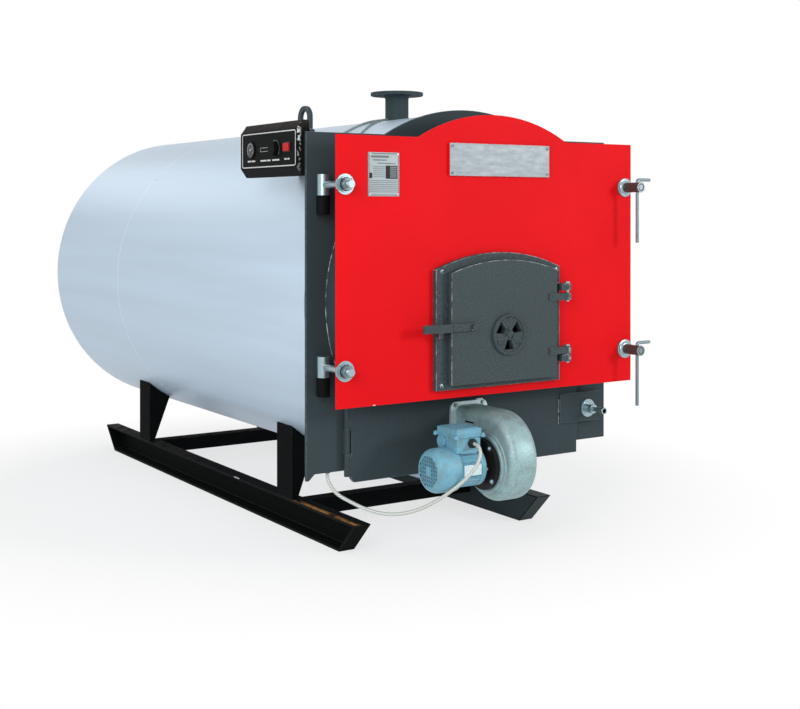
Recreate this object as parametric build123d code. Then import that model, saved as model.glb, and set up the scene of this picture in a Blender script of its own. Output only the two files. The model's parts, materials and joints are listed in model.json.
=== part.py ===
from build123d import *
import math
import os

# Horizontal solid-fuel boiler on a skid, in millimetres.
# The floor is at Z 0 and the barrel's axis lies over X 0.
# The front plate's face is at Y 0 and the front looks towards -Y.

# Cutting and fitting
overrun = 5.0
seat_gap = 0.3
weld_gap = 0.2
moving_gap = 6.0

# Skid
runner_outer_x = 426.0
runner_width = 63.0
runner_height = 112.0
runner_front = 51.0
runner_rear = 2441.0
runner_web = 7.0
runner_flange = 9.0
runner_end_plate = 8.0
beam_height = 60.0
beam_depth = 60.0
beam_wall = 5.0
front_beam_place = 475.0
rear_beam_place = 1895.0
leg_width = 119.0
leg_wall = 7.0
leg_foot_flange = 24.0
leg_head_flange = 100.0
front_leg_place = 502.0
rear_leg_place = 1878.0

# Barrel
barrel_rise = 113.0
cladding_radius = 645.0
jacket_wall = 50.0
barrel_end = 2521.0
seam_place = 1700.0
rear_plate_thickness = 12.0
axis_height = runner_height + barrel_rise + cladding_radius
jacket_inner_radius = cladding_radius - jacket_wall
barrel_top = axis_height + cladding_radius
barrel_bottom = axis_height - cladding_radius
rear_plate_front = barrel_end - rear_plate_thickness

# Front plate
plate_thickness = 10.0
plate_side_inset = 2.0
plate_bottom_rise = 92.0
plate_shoulder_drop = 84.0
plate_arch_margin = 11.0
plate_lip_width = 32.0
plate_lip_drop = 20.0
plate_lip_flat_share = 0.33
barrel_start = plate_thickness
plate_half_width = cladding_radius - plate_side_inset
plate_bottom = barrel_bottom + plate_bottom_rise
plate_shoulder = barrel_top - plate_shoulder_drop
plate_arch_radius = cladding_radius + plate_arch_margin

# Tube plates and fire tubes
tube_plate_thickness = 12.0
tube_plate_edge_gap = 5.0
rear_tube_plate_place = 2300.0
fire_tube_radius = 35.0
fire_tube_wall = 4.0
outer_row_margin = 135.0
outer_row_count = 11
outer_row_start_deg = 12.0
outer_row_end_deg = 168.0
row_pitch = 130.0
inner_row_count = 6
inner_row_start_deg = 35.0
inner_row_end_deg = 145.0
outer_row_radius = jacket_inner_radius - outer_row_margin
inner_row_radius = outer_row_radius - row_pitch
tube_plate_back = barrel_start + tube_plate_thickness
fire_tube_end = rear_tube_plate_place + tube_plate_thickness

# Furnace, its mouths and its grate
furnace_half_width = 290.0
furnace_corner_gap = 24.0
furnace_crown_rise = 115.0
furnace_arch_rise = 135.0
furnace_wall = 10.0
furnace_end = 2050.0
fire_mouth_inset = 55.0
fire_mouth_lift = 40.0
fire_mouth_crown_gap = 90.0
ash_mouth_lift = 8.0
ash_mouth_height = 104.0
grate_lift = 60.0
grate_thickness = 18.0
grate_start = 60.0
grate_length = 1440.0
grate_slot_count = 11
grate_slot_width = 14.0
grate_rim = 60.0
furnace_corner_radius = jacket_inner_radius - furnace_corner_gap
furnace_bottom = axis_height - math.sqrt(furnace_corner_radius**2 - furnace_half_width**2)
furnace_crown = axis_height + furnace_crown_rise
furnace_spring = furnace_crown - furnace_arch_rise
mouth_half_width = furnace_half_width - fire_mouth_inset
ash_mouth_bottom = furnace_bottom + furnace_wall + ash_mouth_lift
ash_mouth_top = ash_mouth_bottom + ash_mouth_height
grate_top = ash_mouth_top + grate_lift
fire_mouth_bottom = grate_top + fire_mouth_lift
fire_mouth_top = furnace_crown - fire_mouth_crown_gap

# Main door
door_stand_off = 157.0
door_thickness = 6.0
door_side_margin = 18.0
door_shoulder_margin = 16.0
door_arch_margin = 27.0
door_overlap = 15.0
door_back = -door_stand_off
door_front = door_back - door_thickness
door_half_width = plate_half_width - door_side_margin
door_shoulder = plate_shoulder - door_shoulder_margin
door_arch_radius = plate_arch_radius - door_arch_margin

# Smoke-box ring between the front plate and the door, and the lining inside it
ring_side_margin = 55.0
ring_wall = 12.0
ring_lift = 6.0
lining_side_gap = 98.0
lining_bottom_gap = 12.0
lining_depth = 60.0
ring_radius = door_half_width - ring_side_margin
ring_inner_radius = ring_radius - ring_wall
ring_bottom = grate_top + ring_lift
ring_floor = ring_bottom + ring_wall
ring_front = door_back + moving_gap
door_bottom = ring_bottom - door_overlap
lining_radius = ring_inner_radius - lining_side_gap
lining_bottom = ring_floor + lining_bottom_gap

# Supply pipe and flange on top, return stub and flue collar at the rear
pipe_radius = 44.45
pipe_wall = 4.0
pipe_sink = 30.0
supply_place = 452.0
supply_rise = 107.0
flange_radius = 100.0
flange_thickness = 12.0
flange_pitch_radius = 80.0
flange_hole_radius = 9.0
flange_hole_count = 8
return_rim = 255.0
return_reach = 130.0
flue_rim = 325.0
flue_radius = 150.0
flue_wall = 5.0
flue_reach = 140.0
supply_top = barrel_top + supply_rise
return_height = barrel_bottom + return_rim
flue_height = barrel_top - flue_rim

# Lifting lug behind the left shoulder of the front plate
lug_inset = 23.0
lug_thickness = 15.0
lug_length = 100.0
lug_hole_rise = 48.0
lug_hole_radius = 24.0
lug_rim = 15.0
lug_depth = 149.0
lug_x = lug_inset - plate_half_width
lug_hole_height = plate_shoulder + lug_hole_rise
lug_foot = lug_hole_height - lug_depth

# Main-door hinges: pintles on the plate, eye-bolts on the door
hinge_inset = 48.0
hinge_stand_off = 28.0
upper_fixing_drop = 157.0
lower_fixing_rise = 118.0
knuckle_radius = 21.0
knuckle_height = 68.0
pintle_height = 62.0
pintle_radius = 10.0
pintle_web = 20.0
eyebolt_radius = 12.0
eyebolt_end = 45.0
eyebolt_hole_gap = 1.0
wide_washer_radius = 33.0
washer_radius = 25.0
washer_thickness = 5.0
hinge_nut_radius = 20.0
hinge_nut_height = 18.0
hinge_x = plate_half_width - hinge_inset
hinge_y = -hinge_stand_off
upper_fixing_height = door_shoulder - upper_fixing_drop
lower_fixing_height = door_bottom + lower_fixing_rise
fixing_heights = [upper_fixing_height, lower_fixing_height]

# Clamp nuts with tommy bars on the right edge of the main door
clamp_inset = 51.0
clamp_sleeve_radius = 18.0
clamp_sleeve_reach = 89.0
clamp_sleeve_tail = 17.0
clamp_washer_radius = 33.0
clamp_washer_thickness = 6.0
clamp_mouth_radius = 10.0
clamp_mouth_depth = 12.0
tommy_radius = 6.0
tommy_setback = 20.0
tommy_drop = 200.0
tommy_rise = 27.0
tommy_hook = 60.0
tommy_bend = 8.0
clamp_stud_radius = 10.0
clamp_stud_gap = 12.0
clamp_x = plate_half_width - clamp_inset

# Plates on the main door
maker_plate_x = 17.0
maker_plate_width = 425.0
maker_plate_height = 109.0
maker_plate_drop = 70.0
maker_plate_thickness = 2.0
maker_box_depth = 8.0
rating_plate_inset = 175.0
rating_plate_width = 118.0
rating_plate_height = 141.0
rating_plate_drop = 124.0
rating_plate_thickness = 2.0
maker_plate_middle = door_shoulder - maker_plate_drop
maker_box_front = door_front - maker_box_depth
rating_plate_x = rating_plate_inset - door_half_width
rating_plate_middle = door_shoulder - rating_plate_drop

# Fuel door's frame and opening
fuel_frame_x = 5.0
fuel_frame_half_width = 263.0
fuel_frame_lift = 30.0
fuel_frame_height = 399.0
fuel_frame_arch = 53.0
fuel_frame_thickness = 20.0
fuel_opening_x = 12.0
fuel_opening_margin = 68.0
fuel_opening_lift = 37.0
fuel_opening_drop = 40.0
fuel_frame_bottom = door_bottom + fuel_frame_lift
fuel_frame_shoulder = fuel_frame_bottom + fuel_frame_height
fuel_frame_crown = fuel_frame_shoulder + fuel_frame_arch
fuel_frame_front = door_front - fuel_frame_thickness
fuel_opening_half_width = fuel_frame_half_width - fuel_opening_margin
fuel_opening_bottom = fuel_frame_bottom + fuel_opening_lift
fuel_opening_top = fuel_frame_shoulder - fuel_opening_drop

# Fuel door's leaf, straps and pins
leaf_margin = 39.0
leaf_bottom_margin = 17.0
leaf_shoulder_margin = 12.0
leaf_crown_margin = 26.0
leaf_thickness = 20.0
leaf_gap = 5.0
fuel_pin_offset = 21.0
fuel_pin_radius = 6.0
fuel_pin_forward = 17.0
fuel_pin_head_radius = 9.0
fuel_pin_head = 6.0
fuel_pin_tail = 6.0
fuel_eye_radius = 13.0
fuel_strap_height = 25.0
fuel_strap_reach = 36.0
fuel_lug_height = 24.0
fuel_lug_root = 13.0
upper_strap_drop = 106.0
lower_strap_rise = 77.0
upper_lug_gap = 9.0
lower_lug_gap = 3.0
leaf_half_width = fuel_frame_half_width - leaf_margin
leaf_bottom = fuel_frame_bottom + leaf_bottom_margin
leaf_shoulder = fuel_frame_shoulder - leaf_shoulder_margin
leaf_crown = fuel_frame_crown - leaf_crown_margin
leaf_back = fuel_frame_front - leaf_gap
leaf_front = leaf_back - leaf_thickness
fuel_pin_x = fuel_frame_x + fuel_frame_half_width + fuel_pin_offset
fuel_pin_y = fuel_frame_front - fuel_pin_forward
upper_strap_bottom = leaf_shoulder - upper_strap_drop
lower_strap_bottom = leaf_bottom + lower_strap_rise
upper_strap = (upper_strap_bottom, upper_strap_bottom + fuel_strap_height)
upper_lug = (upper_strap[1] + upper_lug_gap, upper_strap[1] + upper_lug_gap + fuel_lug_height)
lower_strap = (lower_strap_bottom, lower_strap_bottom + fuel_strap_height)
lower_lug = (lower_strap[0] - lower_lug_gap - fuel_lug_height, lower_strap[0] - lower_lug_gap)

# Rotary air damper on the fuel-door leaf
damper_offset = 9.0
damper_rise = 158.0
damper_radius = 70.0
damper_thickness = 6.0
damper_gap = 0.5
damper_port_inner = 20.0
damper_port_outer = 56.0
damper_port_angle = 46.0
damper_port_count = 3
damper_first_port_deg = 30.0
damper_rib_length = 44.0
damper_rib_width = 11.0
damper_rib_height = 6.0
damper_rib_start = 14.0
rivet_radius = 6.0
rivet_head_radius = 11.0
rivet_head = 4.0
damper_x = fuel_opening_x + damper_offset
damper_height = leaf_bottom + damper_rise

# Latch lever on the fuel-door leaf, with its ledge on the frame
latch_inset = 84.0
latch_rise = 191.0
latch_bar_height = 30.0
latch_bar_thickness = 10.0
latch_eye_radius = 16.0
latch_lift = 5.0
latch_step_gap = 20.0
latch_step_width = 14.0
latch_overhang = 74.0
latch_tail_lift = 7.0
latch_tail_thickness = 12.0
ledge_width = 16.0
ledge_depth = 20.0
ledge_height = 18.0
leaf_left = fuel_opening_x - leaf_half_width
latch_x = leaf_left + latch_inset
latch_height = leaf_bottom + latch_rise
latch_step_x = leaf_left - latch_step_gap
latch_end_x = fuel_frame_x - fuel_frame_half_width - latch_overhang

# Ash door
ash_side_margin = 157.0
ash_overhang = 38.0
ash_top_gap = 10.0
ash_gap = 8.0
ash_thickness = 15.0
ash_corner = 12.0
ash_hinge_offset = 14.0
ash_hinge_stand_off = 18.0
ash_knuckle_radius = 10.0
ash_pin_radius = 5.0
ash_bracket_rise = 95.0
ash_bracket_height = 78.0
ash_bracket_web = 12.0
ash_knuckle_height = 73.0
ash_strap_overlap = 86.0
ash_strap_overhang = 114.0
ash_strap_drop = 41.0
ash_strap_height = 108.0
ash_strap_thickness = 8.0
ash_clamp_offset = 45.0
ash_clamp_drop = 60.0
ash_clamp_radius = 9.0
ash_clamp_reach = 94.0
ash_clamp_tail = 4.0
ash_clamp_collar_radius = 17.0
ash_clamp_collar = 30.0
ash_cross_hole_radius = 5.0
ash_cross_hole_setback = 22.0
ash_stud_radius = 8.0
ash_stud_reach = 10.0
ash_half_width = plate_half_width - ash_side_margin
ash_bottom = plate_bottom - ash_overhang
ash_top = door_bottom - ash_top_gap
ash_back = -ash_gap
ash_front = ash_back - ash_thickness
ash_hinge_x = -ash_half_width - ash_hinge_offset
ash_bracket_bottom = ash_bottom + ash_bracket_rise
ash_strap_front = ash_front - ash_strap_thickness
ash_strap_top = ash_top - ash_strap_drop
ash_strap_bottom = ash_strap_top - ash_strap_height
ash_clamp_x = ash_half_width + ash_clamp_offset
ash_clamp_height = ash_strap_top - ash_clamp_drop

# Fan on the ash door
fan_axis_reach = 185.0
fan_axis_drop = 213.0
volute_left = -70.0
volute_right = 42.0
volute_round = 26.0
volute_top_radius = 172.0
volute_front_radius = 142.0
volute_bottom_radius = 123.0
volute_back_radius = 113.0
duct_height = 108.0
fan_flange_margin = 22.0
fan_flange_rim = 12.0
fan_flange_thickness = 10.0
fan_flange_corner = 22.0
motor_flange_radius = 84.0
motor_flange_thickness = 24.0
motor_radius = 64.0
motor_length = 156.0
cover_radius = 73.0
cover_length = 58.0
cover_round = 20.0
terminal_start = 42.0
terminal_length = 94.0
terminal_half_depth = 52.0
terminal_sink = 6.0
terminal_height = 76.0
terminal_lid = 22.0
terminal_lid_edge = 3.0
terminal_boss_radius = 20.0
terminal_boss_rise = 30.0
terminal_boss_offset = 26.0
terminal_boss_reach = 8.0
gland_setback = 59.0
gland_rise = 29.0
gland_radius = 9.0
gland_reach = 12.0
gland_nut_radius = 15.0
gland_nut = 7.0
fan_axis_y = ash_front - fan_axis_reach
fan_axis_height = ash_top - fan_axis_drop
duct_top = fan_axis_height + volute_top_radius
duct_bottom = duct_top - duct_height
fan_flange_front = ash_front - fan_flange_thickness
motor_start = volute_left - motor_flange_thickness
motor_end = motor_start - motor_length
cover_end = motor_end - cover_length
terminal_right = motor_start - terminal_start
terminal_left = terminal_right - terminal_length
terminal_bottom = fan_axis_height + motor_radius - terminal_sink
terminal_top = terminal_bottom + terminal_height
terminal_boss_y = fan_axis_y + terminal_boss_offset
terminal_boss_height = terminal_bottom + terminal_boss_rise
gland_x = terminal_left + gland_setback
gland_height = terminal_bottom + gland_rise

# Conduit from the motor's gland to the gland behind the front plate's lower edge
conduit_radius = 6.0
conduit_run_share = 0.45
plate_gland_inset = 90.0
plate_gland_radius = 10.0
plate_gland_length = 30.0
plate_gland_drop = 4.0
plate_gland_x = plate_gland_inset - plate_half_width
plate_gland_y = plate_thickness + plate_gland_radius + seat_gap
plate_gland_bottom = plate_bottom - plate_gland_drop

# Route of the conduit: places from the motor's gland, then places from the plate's gland
conduit_from_motor = [
    (0, 0, 0),
    (0, -18, 0),
    (-1, -37, -13),
    (-6, -45, -36),
    (-22, -41, -70),
    (-53, -19, -112),
    (-91, 12, -152),
    (-133, 47, -189),
    (-176, 82, -214),
]
conduit_to_plate = [
    (158, -175.3, -124),
    (113, -139.3, -121),
    (75, -104.3, -106),
    (45, -68.3, -87),
    (25, -42.3, -73),
    (13, -25.3, -59),
    (5.5, -11.3, -41),
    (0, 0, -20),
    (0, 0, 0),
]

# Control box on the left, behind the front plate
box_overhang = 25.0
box_depth = 40.0
box_chamfer = 20.0
box_gap = 4.0
box_length = 410.0
box_rise = 39.0
box_height = 182.0
box_bevel = 28.0
box_bracket_place = 330.0
box_bracket_width = 12.0
box_bracket_lift = 8.0
box_bracket_height = 34.0
panel_margin = 1.0
panel_thickness = 2.0
gauge_place = 341.0
gauge_drop = 88.0
gauge_radius = 29.0
gauge_depth = 4.0
knob_place = 162.0
knob_drop = 90.0
knob_radius = 23.0
knob_depth = 16.0
knob_gap = 1.0
knob_shaft_radius = 4.0
rocker_place = 80.0
rocker_drop = 87.0
rocker_width = 40.0
rocker_length = 26.0
rocker_depth = 6.0
box_face_x = -plate_half_width - box_overhang
box_back_x = box_face_x + box_depth
box_shoulder_x = box_face_x + box_chamfer
box_start = plate_thickness + box_gap
box_end = box_start + box_length
box_top = plate_shoulder + box_rise
box_bottom = box_top - box_height
box_face_top = box_top - box_bevel
box_face_bottom = box_bottom + box_bevel
box_bracket_bottom = box_bottom + box_bracket_lift
panel_face_x = box_face_x - panel_thickness

# Capillary tubes over the cladding, from behind the front plate to the supply pipe
capillary_radius = 4.0
capillary_run_share = 0.45
capillary_steps = 6
first_capillary_start_deg = 136.0
first_capillary_end_deg = 94.3
first_capillary_start = 290.0
first_capillary_end_offset = 6.0
second_capillary_start_deg = 138.0
second_capillary_end_deg = 94.3
second_capillary_start = 30.0
second_capillary_end_offset = -12.0


# Box between two corners
def block(x_pair, y_pair, z_pair):
    sizes = [pair[1] - pair[0] for pair in (x_pair, y_pair, z_pair)]
    middle = Location((sum(x_pair) / 2, sum(y_pair) / 2, sum(z_pair) / 2))
    return middle * Box(*sizes)


# Round bar along X, Y or Z between two places
def bar_x(radius, start, end, y, z):
    return Location(((start + end) / 2, y, z), (0, 90, 0)) * Cylinder(radius, abs(end - start))


def bar_y(radius, start, end, x, z):
    return Location((x, (start + end) / 2, z), (90, 0, 0)) * Cylinder(radius, abs(end - start))


def bar_z(radius, start, end, x, y):
    return Location((x, y, (start + end) / 2)) * Cylinder(radius, abs(end - start))


# Six-sided nut along Y
def hex_y(radius, start, end, x, z):
    face = Plane((x, start, z), x_dir=(1, 0, 0), z_dir=(0, 1, 0)) * RegularPolygon(radius, 6)
    return extrude(face, amount=end - start)


# Flat piece across the boiler, from an outline in X and Z
def slab_y(edges, start, end):
    face = Face(Wire(edges))
    return Solid.extrude(face, Vector(0, end - start, 0))


# Flat piece along the boiler, from an outline in Y and Z
def slab_x(edges, start, end):
    face = Face(Wire(edges))
    return Solid.extrude(face, Vector(end - start, 0, 0))


# Straight edges through points, open or closed
def chain(points):
    return [Edge.make_line(a, b) for a, b in zip(points, points[1:])]


# Outline with square shoulders and an arch over them
def arched_edges(x, half_width, bottom, shoulder, half_chord, crown, y):
    corners = [(x - half_chord, y, shoulder)]
    if half_chord < half_width:
        corners.append((x - half_width, y, shoulder))
    corners += [(x - half_width, y, bottom), (x + half_width, y, bottom)]
    if half_chord < half_width:
        corners.append((x + half_width, y, shoulder))
    corners.append((x + half_chord, y, shoulder))
    arch = Edge.make_three_point_arc(corners[-1], (x, y, crown), corners[0])
    return chain(corners) + [arch]


# Round disc of the barrel's axis with a flat bottom
def flat_bottom_disc(radius, bottom, start, end):
    disc = bar_y(radius, start, end, 0, axis_height)
    below = block((-radius, radius), (start - overrun, end + overrun), (axis_height - 2 * radius, bottom))
    return disc - below


# Tube along a route whose corners are rounded as far as their runs allow
def routed_tube(points, radius, run_share):
    places = [Vector(*p) for p in points]
    radii = []
    for before, here, after in zip(places, places[1:], places[2:]):
        turn = math.radians((here - before).get_angle(after - here))
        run = min((here - before).length, (after - here).length)
        radii.append(run_share * run / math.tan(turn / 2))
    path = FilletPolyline(*places, radius=radii)
    section = Plane(path @ 0, z_dir=path % 0) * Circle(radius)
    tube = sweep(section, path=path)
    print("tube radii", [round(r) for r in radii], "length", round(path.length))
    print("tube volume", round(tube.volume), "section x length", round(math.pi * radius**2 * path.length))
    return tube


# Front plate with the smoke-box and ash openings
def make_front_plate():
    half_chord = math.sqrt(plate_arch_radius**2 - (plate_shoulder - axis_height) ** 2)
    outline = arched_edges(
        0, plate_half_width, plate_bottom, plate_shoulder, half_chord, axis_height + plate_arch_radius, 0
    )
    plate = slab_y(outline, 0, plate_thickness)
    lip_left = -plate_half_width
    lip_low = plate_bottom - plate_lip_drop
    lip_points = [
        (lip_left, 0, plate_bottom),
        (lip_left, 0, lip_low),
        (lip_left + plate_lip_flat_share * plate_lip_width, 0, lip_low),
        (lip_left + plate_lip_width, 0, plate_bottom),
        (lip_left, 0, plate_bottom),
    ]
    plate += slab_y(chain(lip_points), 0, plate_thickness)
    plate -= flat_bottom_disc(ring_inner_radius, ring_floor, -overrun, plate_thickness + overrun)
    plate -= block(
        (-mouth_half_width, mouth_half_width),
        (-overrun, plate_thickness + overrun),
        (ash_mouth_bottom, ash_mouth_top),
    )
    return plate


# Ring that carries the door's seal, flat at the bottom
def make_smoke_box_ring():
    outside = flat_bottom_disc(ring_radius, ring_bottom, ring_front, 0)
    return outside - flat_bottom_disc(ring_inner_radius, ring_floor, ring_front - overrun, overrun)


# Centres of the fire tubes, as X and Z
def fire_tube_places():
    rows = [
        (inner_row_radius, inner_row_count, inner_row_start_deg, inner_row_end_deg),
        (outer_row_radius, outer_row_count, outer_row_start_deg, outer_row_end_deg),
    ]
    places = []
    for row_radius, count, start, end in rows:
        step = (end - start) / (count - 1)
        for i in range(count):
            angle = math.radians(start + i * step)
            places.append((row_radius * math.cos(angle), axis_height + row_radius * math.sin(angle)))
    return places


# Disc across the barrel with a hole for every fire tube
def make_drilled_plate(start):
    end = start + tube_plate_thickness
    plate = bar_y(jacket_inner_radius - tube_plate_edge_gap, start, end, 0, axis_height)
    for x, z in fire_tube_places():
        plate -= bar_y(fire_tube_radius + seat_gap, start - overrun, end + overrun, x, z)
    return plate


def make_tube_plate():
    plate = make_drilled_plate(barrel_start)
    through = (barrel_start - overrun, tube_plate_back + overrun)
    mouth = (-mouth_half_width, mouth_half_width)
    plate -= block(mouth, through, (fire_mouth_bottom, fire_mouth_top))
    return plate - block(mouth, through, (ash_mouth_bottom, ash_mouth_top))


def make_fire_tubes():
    tubes = []
    for x, z in fire_tube_places():
        tube = bar_y(fire_tube_radius, barrel_start, fire_tube_end, x, z)
        bore_radius = fire_tube_radius - fire_tube_wall
        tubes.append(tube - bar_y(bore_radius, barrel_start - overrun, fire_tube_end + overrun, x, z))
    return Compound(children=tubes)


# Arched furnace, closed at the rear
def make_furnace():
    outside = arched_edges(
        0,
        furnace_half_width,
        furnace_bottom,
        furnace_spring,
        furnace_half_width,
        furnace_crown,
        tube_plate_back,
    )
    inner_half = furnace_half_width - furnace_wall
    inside = arched_edges(
        0,
        inner_half,
        furnace_bottom + furnace_wall,
        furnace_spring,
        inner_half,
        furnace_crown - furnace_wall,
        tube_plate_back - overrun,
    )
    shell = slab_y(outside, tube_plate_back, furnace_end)
    return shell - slab_y(inside, tube_plate_back - overrun, furnace_end - furnace_wall)


# Slotted grate between the furnace walls
def make_grate():
    inner_half = furnace_half_width - furnace_wall
    height = (grate_top - grate_thickness, grate_top)
    grate = block((-inner_half, inner_half), (grate_start, grate_start + grate_length), height)
    pitch = 2 * (inner_half - grate_rim) / (grate_slot_count - 1)
    slot_run = (grate_start + grate_rim, grate_start + grate_length - grate_rim)
    slot_height = (height[0] - overrun, height[1] + overrun)
    for i in range(grate_slot_count):
        x = -inner_half + grate_rim + i * pitch
        grate -= block((x - grate_slot_width / 2, x + grate_slot_width / 2), slot_run, slot_height)
    return grate


# Insulated jacket between two places along the barrel
def make_jacket(start, end):
    outside = bar_y(cladding_radius, start, end, 0, axis_height)
    return outside - bar_y(jacket_inner_radius, start - overrun, end + overrun, 0, axis_height)


def make_cladding_front():
    jacket = make_jacket(barrel_start, seam_place)
    height = (barrel_top - jacket_wall - overrun, barrel_top + overrun)
    return jacket - bar_z(pipe_radius + seat_gap, *height, 0, supply_place)


def make_rear_end_plate():
    plate = bar_y(cladding_radius, rear_plate_front, barrel_end, 0, axis_height)
    through = (rear_plate_front - overrun, barrel_end + overrun)
    plate -= bar_y(flue_radius - flue_wall, *through, 0, flue_height)
    return plate - bar_y(pipe_radius - pipe_wall, *through, 0, return_height)


def make_flue_collar():
    end = barrel_end + flue_reach
    collar = bar_y(flue_radius, barrel_end, end, 0, flue_height)
    return collar - bar_y(flue_radius - flue_wall, barrel_end - overrun, end + overrun, 0, flue_height)


# Pipe flange with its bolt holes, about its own axis
def flange_disc():
    disc = Cylinder(flange_radius, flange_thickness)
    holes = PolarLocations(flange_pitch_radius, flange_hole_count) * Cylinder(
        flange_hole_radius, flange_thickness + overrun
    )
    for hole in holes:
        disc -= hole
    return disc


def make_supply_pipe():
    foot = barrel_top - pipe_sink
    end = supply_top - flange_thickness
    pipe = bar_z(pipe_radius, foot, end, 0, supply_place)
    return pipe - bar_z(pipe_radius - pipe_wall, foot - overrun, end + overrun, 0, supply_place)


def make_supply_flange():
    flange = Location((0, supply_place, supply_top - flange_thickness / 2)) * flange_disc()
    bore = (supply_top - flange_thickness - overrun, supply_top + overrun)
    return flange - bar_z(pipe_radius - pipe_wall, *bore, 0, supply_place)


def make_return_stub():
    end = barrel_end + return_reach
    pipe = bar_y(pipe_radius, barrel_end, end, 0, return_height)
    pipe += Location((0, end - flange_thickness / 2, return_height), (90, 0, 0)) * flange_disc()
    return pipe - bar_y(pipe_radius - pipe_wall, barrel_end - overrun, end + overrun, 0, return_height)


# Lifting lug welded to the back of the front plate
def make_lifting_lug():
    x_pair = (lug_x, lug_x + lug_thickness)
    middle = plate_thickness + lug_length / 2
    head_radius = lug_hole_radius + lug_rim
    body_y = (plate_thickness, plate_thickness + lug_length)
    body = block(x_pair, body_y, (lug_foot, lug_hole_height - head_radius))
    neck = block(x_pair, (middle - head_radius, middle + head_radius), (lug_foot, lug_hole_height))
    head = bar_x(head_radius, *x_pair, middle, lug_hole_height)
    hole = bar_x(lug_hole_radius, x_pair[0] - overrun, x_pair[1] + overrun, middle, lug_hole_height)
    return body + neck + head - hole


# Channel runner, open outwards, both ends cut like a sled and closed by plates
def make_runner(side):
    slope = runner_end_plate * math.sqrt(2)
    outer = side * runner_outer_x
    inner = side * (runner_outer_x - runner_width)
    web_face = side * (runner_outer_x - runner_width + runner_web)
    profile = [
        (outer, runner_front, runner_height),
        (outer, runner_rear, runner_height),
        (outer, runner_rear - runner_height, 0),
        (outer, runner_front + runner_height, 0),
        (outer, runner_front, runner_height),
    ]
    low = runner_flange
    high = runner_height - runner_flange
    recess = [
        (outer, runner_front + runner_height - high + slope, high),
        (outer, runner_rear - runner_height + high - slope, high),
        (outer, runner_rear - runner_height + low - slope, low),
        (outer, runner_front + runner_height - low + slope, low),
        (outer, runner_front + runner_height - high + slope, high),
    ]
    runner = slab_x(chain(profile), outer, inner)
    return runner - slab_x(chain(recess), outer, web_face)


# Hollow beam between the runners
def make_cross_beam(place):
    reach = runner_outer_x - runner_width
    height = (runner_height - beam_height, runner_height)
    depth = (place, place + beam_depth)
    inside_height = (height[0] + beam_wall, height[1] - beam_wall)
    inside_depth = (depth[0] + beam_wall, depth[1] - beam_wall)
    beam = block((-reach, reach), depth, height)
    return beam - block((-reach - overrun, reach + overrun), inside_depth, inside_height)


# Channel leg with flanges that widen upwards, cut to the barrel
def make_leg(side, place):
    outer = side * runner_outer_x
    web = side * (runner_outer_x - leg_wall)
    foot = side * (runner_outer_x - leg_foot_flange)
    head = side * (runner_outer_x - leg_head_flange)
    barrel_radius = cladding_radius + weld_gap
    head_height = axis_height - math.sqrt(barrel_radius**2 - head**2)
    top = axis_height
    ends = [(place, place + leg_wall), (place + leg_width - leg_wall, place + leg_width)]
    leg = block(sorted((outer, web)), (place, place + leg_width), (runner_height, top))
    for start, end in ends:
        points = [
            (outer, start, runner_height),
            (foot, start, runner_height),
            (head, start, head_height),
            (head, start, top),
            (outer, start, top),
            (outer, start, runner_height),
        ]
        leg += slab_y(chain(points), start, end)
    leg -= bar_y(barrel_radius, place - overrun, place + leg_width + overrun, 0, axis_height)
    return leg.solids().sort_by(Axis.Z)[0]


# Pintle: lug welded to the plate, its pin standing up into the eye-bolt's knuckle
def make_hinge_pintle(height):
    seat = height - knuckle_height / 2 - seat_gap
    lug = bar_z(knuckle_radius, seat - pintle_height, seat, -hinge_x, hinge_y)
    web_x = (-hinge_x - pintle_web / 2, -hinge_x + pintle_web / 2)
    lug += block(web_x, (hinge_y, 0), (seat - pintle_height, seat))
    return lug + bar_z(pintle_radius, seat, height + knuckle_height / 2, -hinge_x, hinge_y)


# Eye-bolt: knuckle, rod through the door, nuts and washers on both faces
def make_hinge_eyebolt(height):
    bolt = bar_z(knuckle_radius, height - knuckle_height / 2, height + knuckle_height / 2, -hinge_x, hinge_y)
    bolt += bar_y(eyebolt_radius, door_front - eyebolt_end, hinge_y, -hinge_x, height)
    behind = door_back + washer_thickness
    bolt += bar_y(washer_radius, door_back, behind, -hinge_x, height)
    bolt += hex_y(hinge_nut_radius, behind, behind + hinge_nut_height, -hinge_x, height)
    wide = door_front - washer_thickness
    narrow = wide - washer_thickness
    bolt += bar_y(wide_washer_radius, wide, door_front, -hinge_x, height)
    bolt += bar_y(washer_radius, narrow, wide, -hinge_x, height)
    bolt += hex_y(hinge_nut_radius, narrow - hinge_nut_height, narrow, -hinge_x, height)
    bore_reach = knuckle_height / 2 + overrun
    return bolt - bar_z(pintle_radius + seat_gap, height - bore_reach, height + bore_reach, -hinge_x, hinge_y)


# Main-door panel with its fuel opening and fixing holes
def make_main_door_panel():
    half_chord = math.sqrt(door_arch_radius**2 - (door_shoulder - axis_height) ** 2)
    crown = axis_height + door_arch_radius
    outline = arched_edges(0, door_half_width, door_bottom, door_shoulder, half_chord, crown, door_front)
    panel = slab_y(outline, door_front, door_back)
    panel -= fuel_opening(door_front, door_back)
    through = (door_front - overrun, door_back + overrun)
    for height in fixing_heights:
        panel -= bar_y(eyebolt_radius + eyebolt_hole_gap, *through, -hinge_x, height)
        panel -= bar_y(clamp_sleeve_radius + eyebolt_hole_gap, *through, clamp_x, height)
    return panel


# Passage for fuel through frame, door and lining
def fuel_opening(start, end):
    return block(
        (fuel_opening_x - fuel_opening_half_width, fuel_opening_x + fuel_opening_half_width),
        (start - overrun, end + overrun),
        (fuel_opening_bottom, fuel_opening_top),
    )


def make_door_lining():
    end = door_back + lining_depth
    lining = flat_bottom_disc(lining_radius, lining_bottom, door_back, end)
    return lining - fuel_opening(door_back, end)


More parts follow.
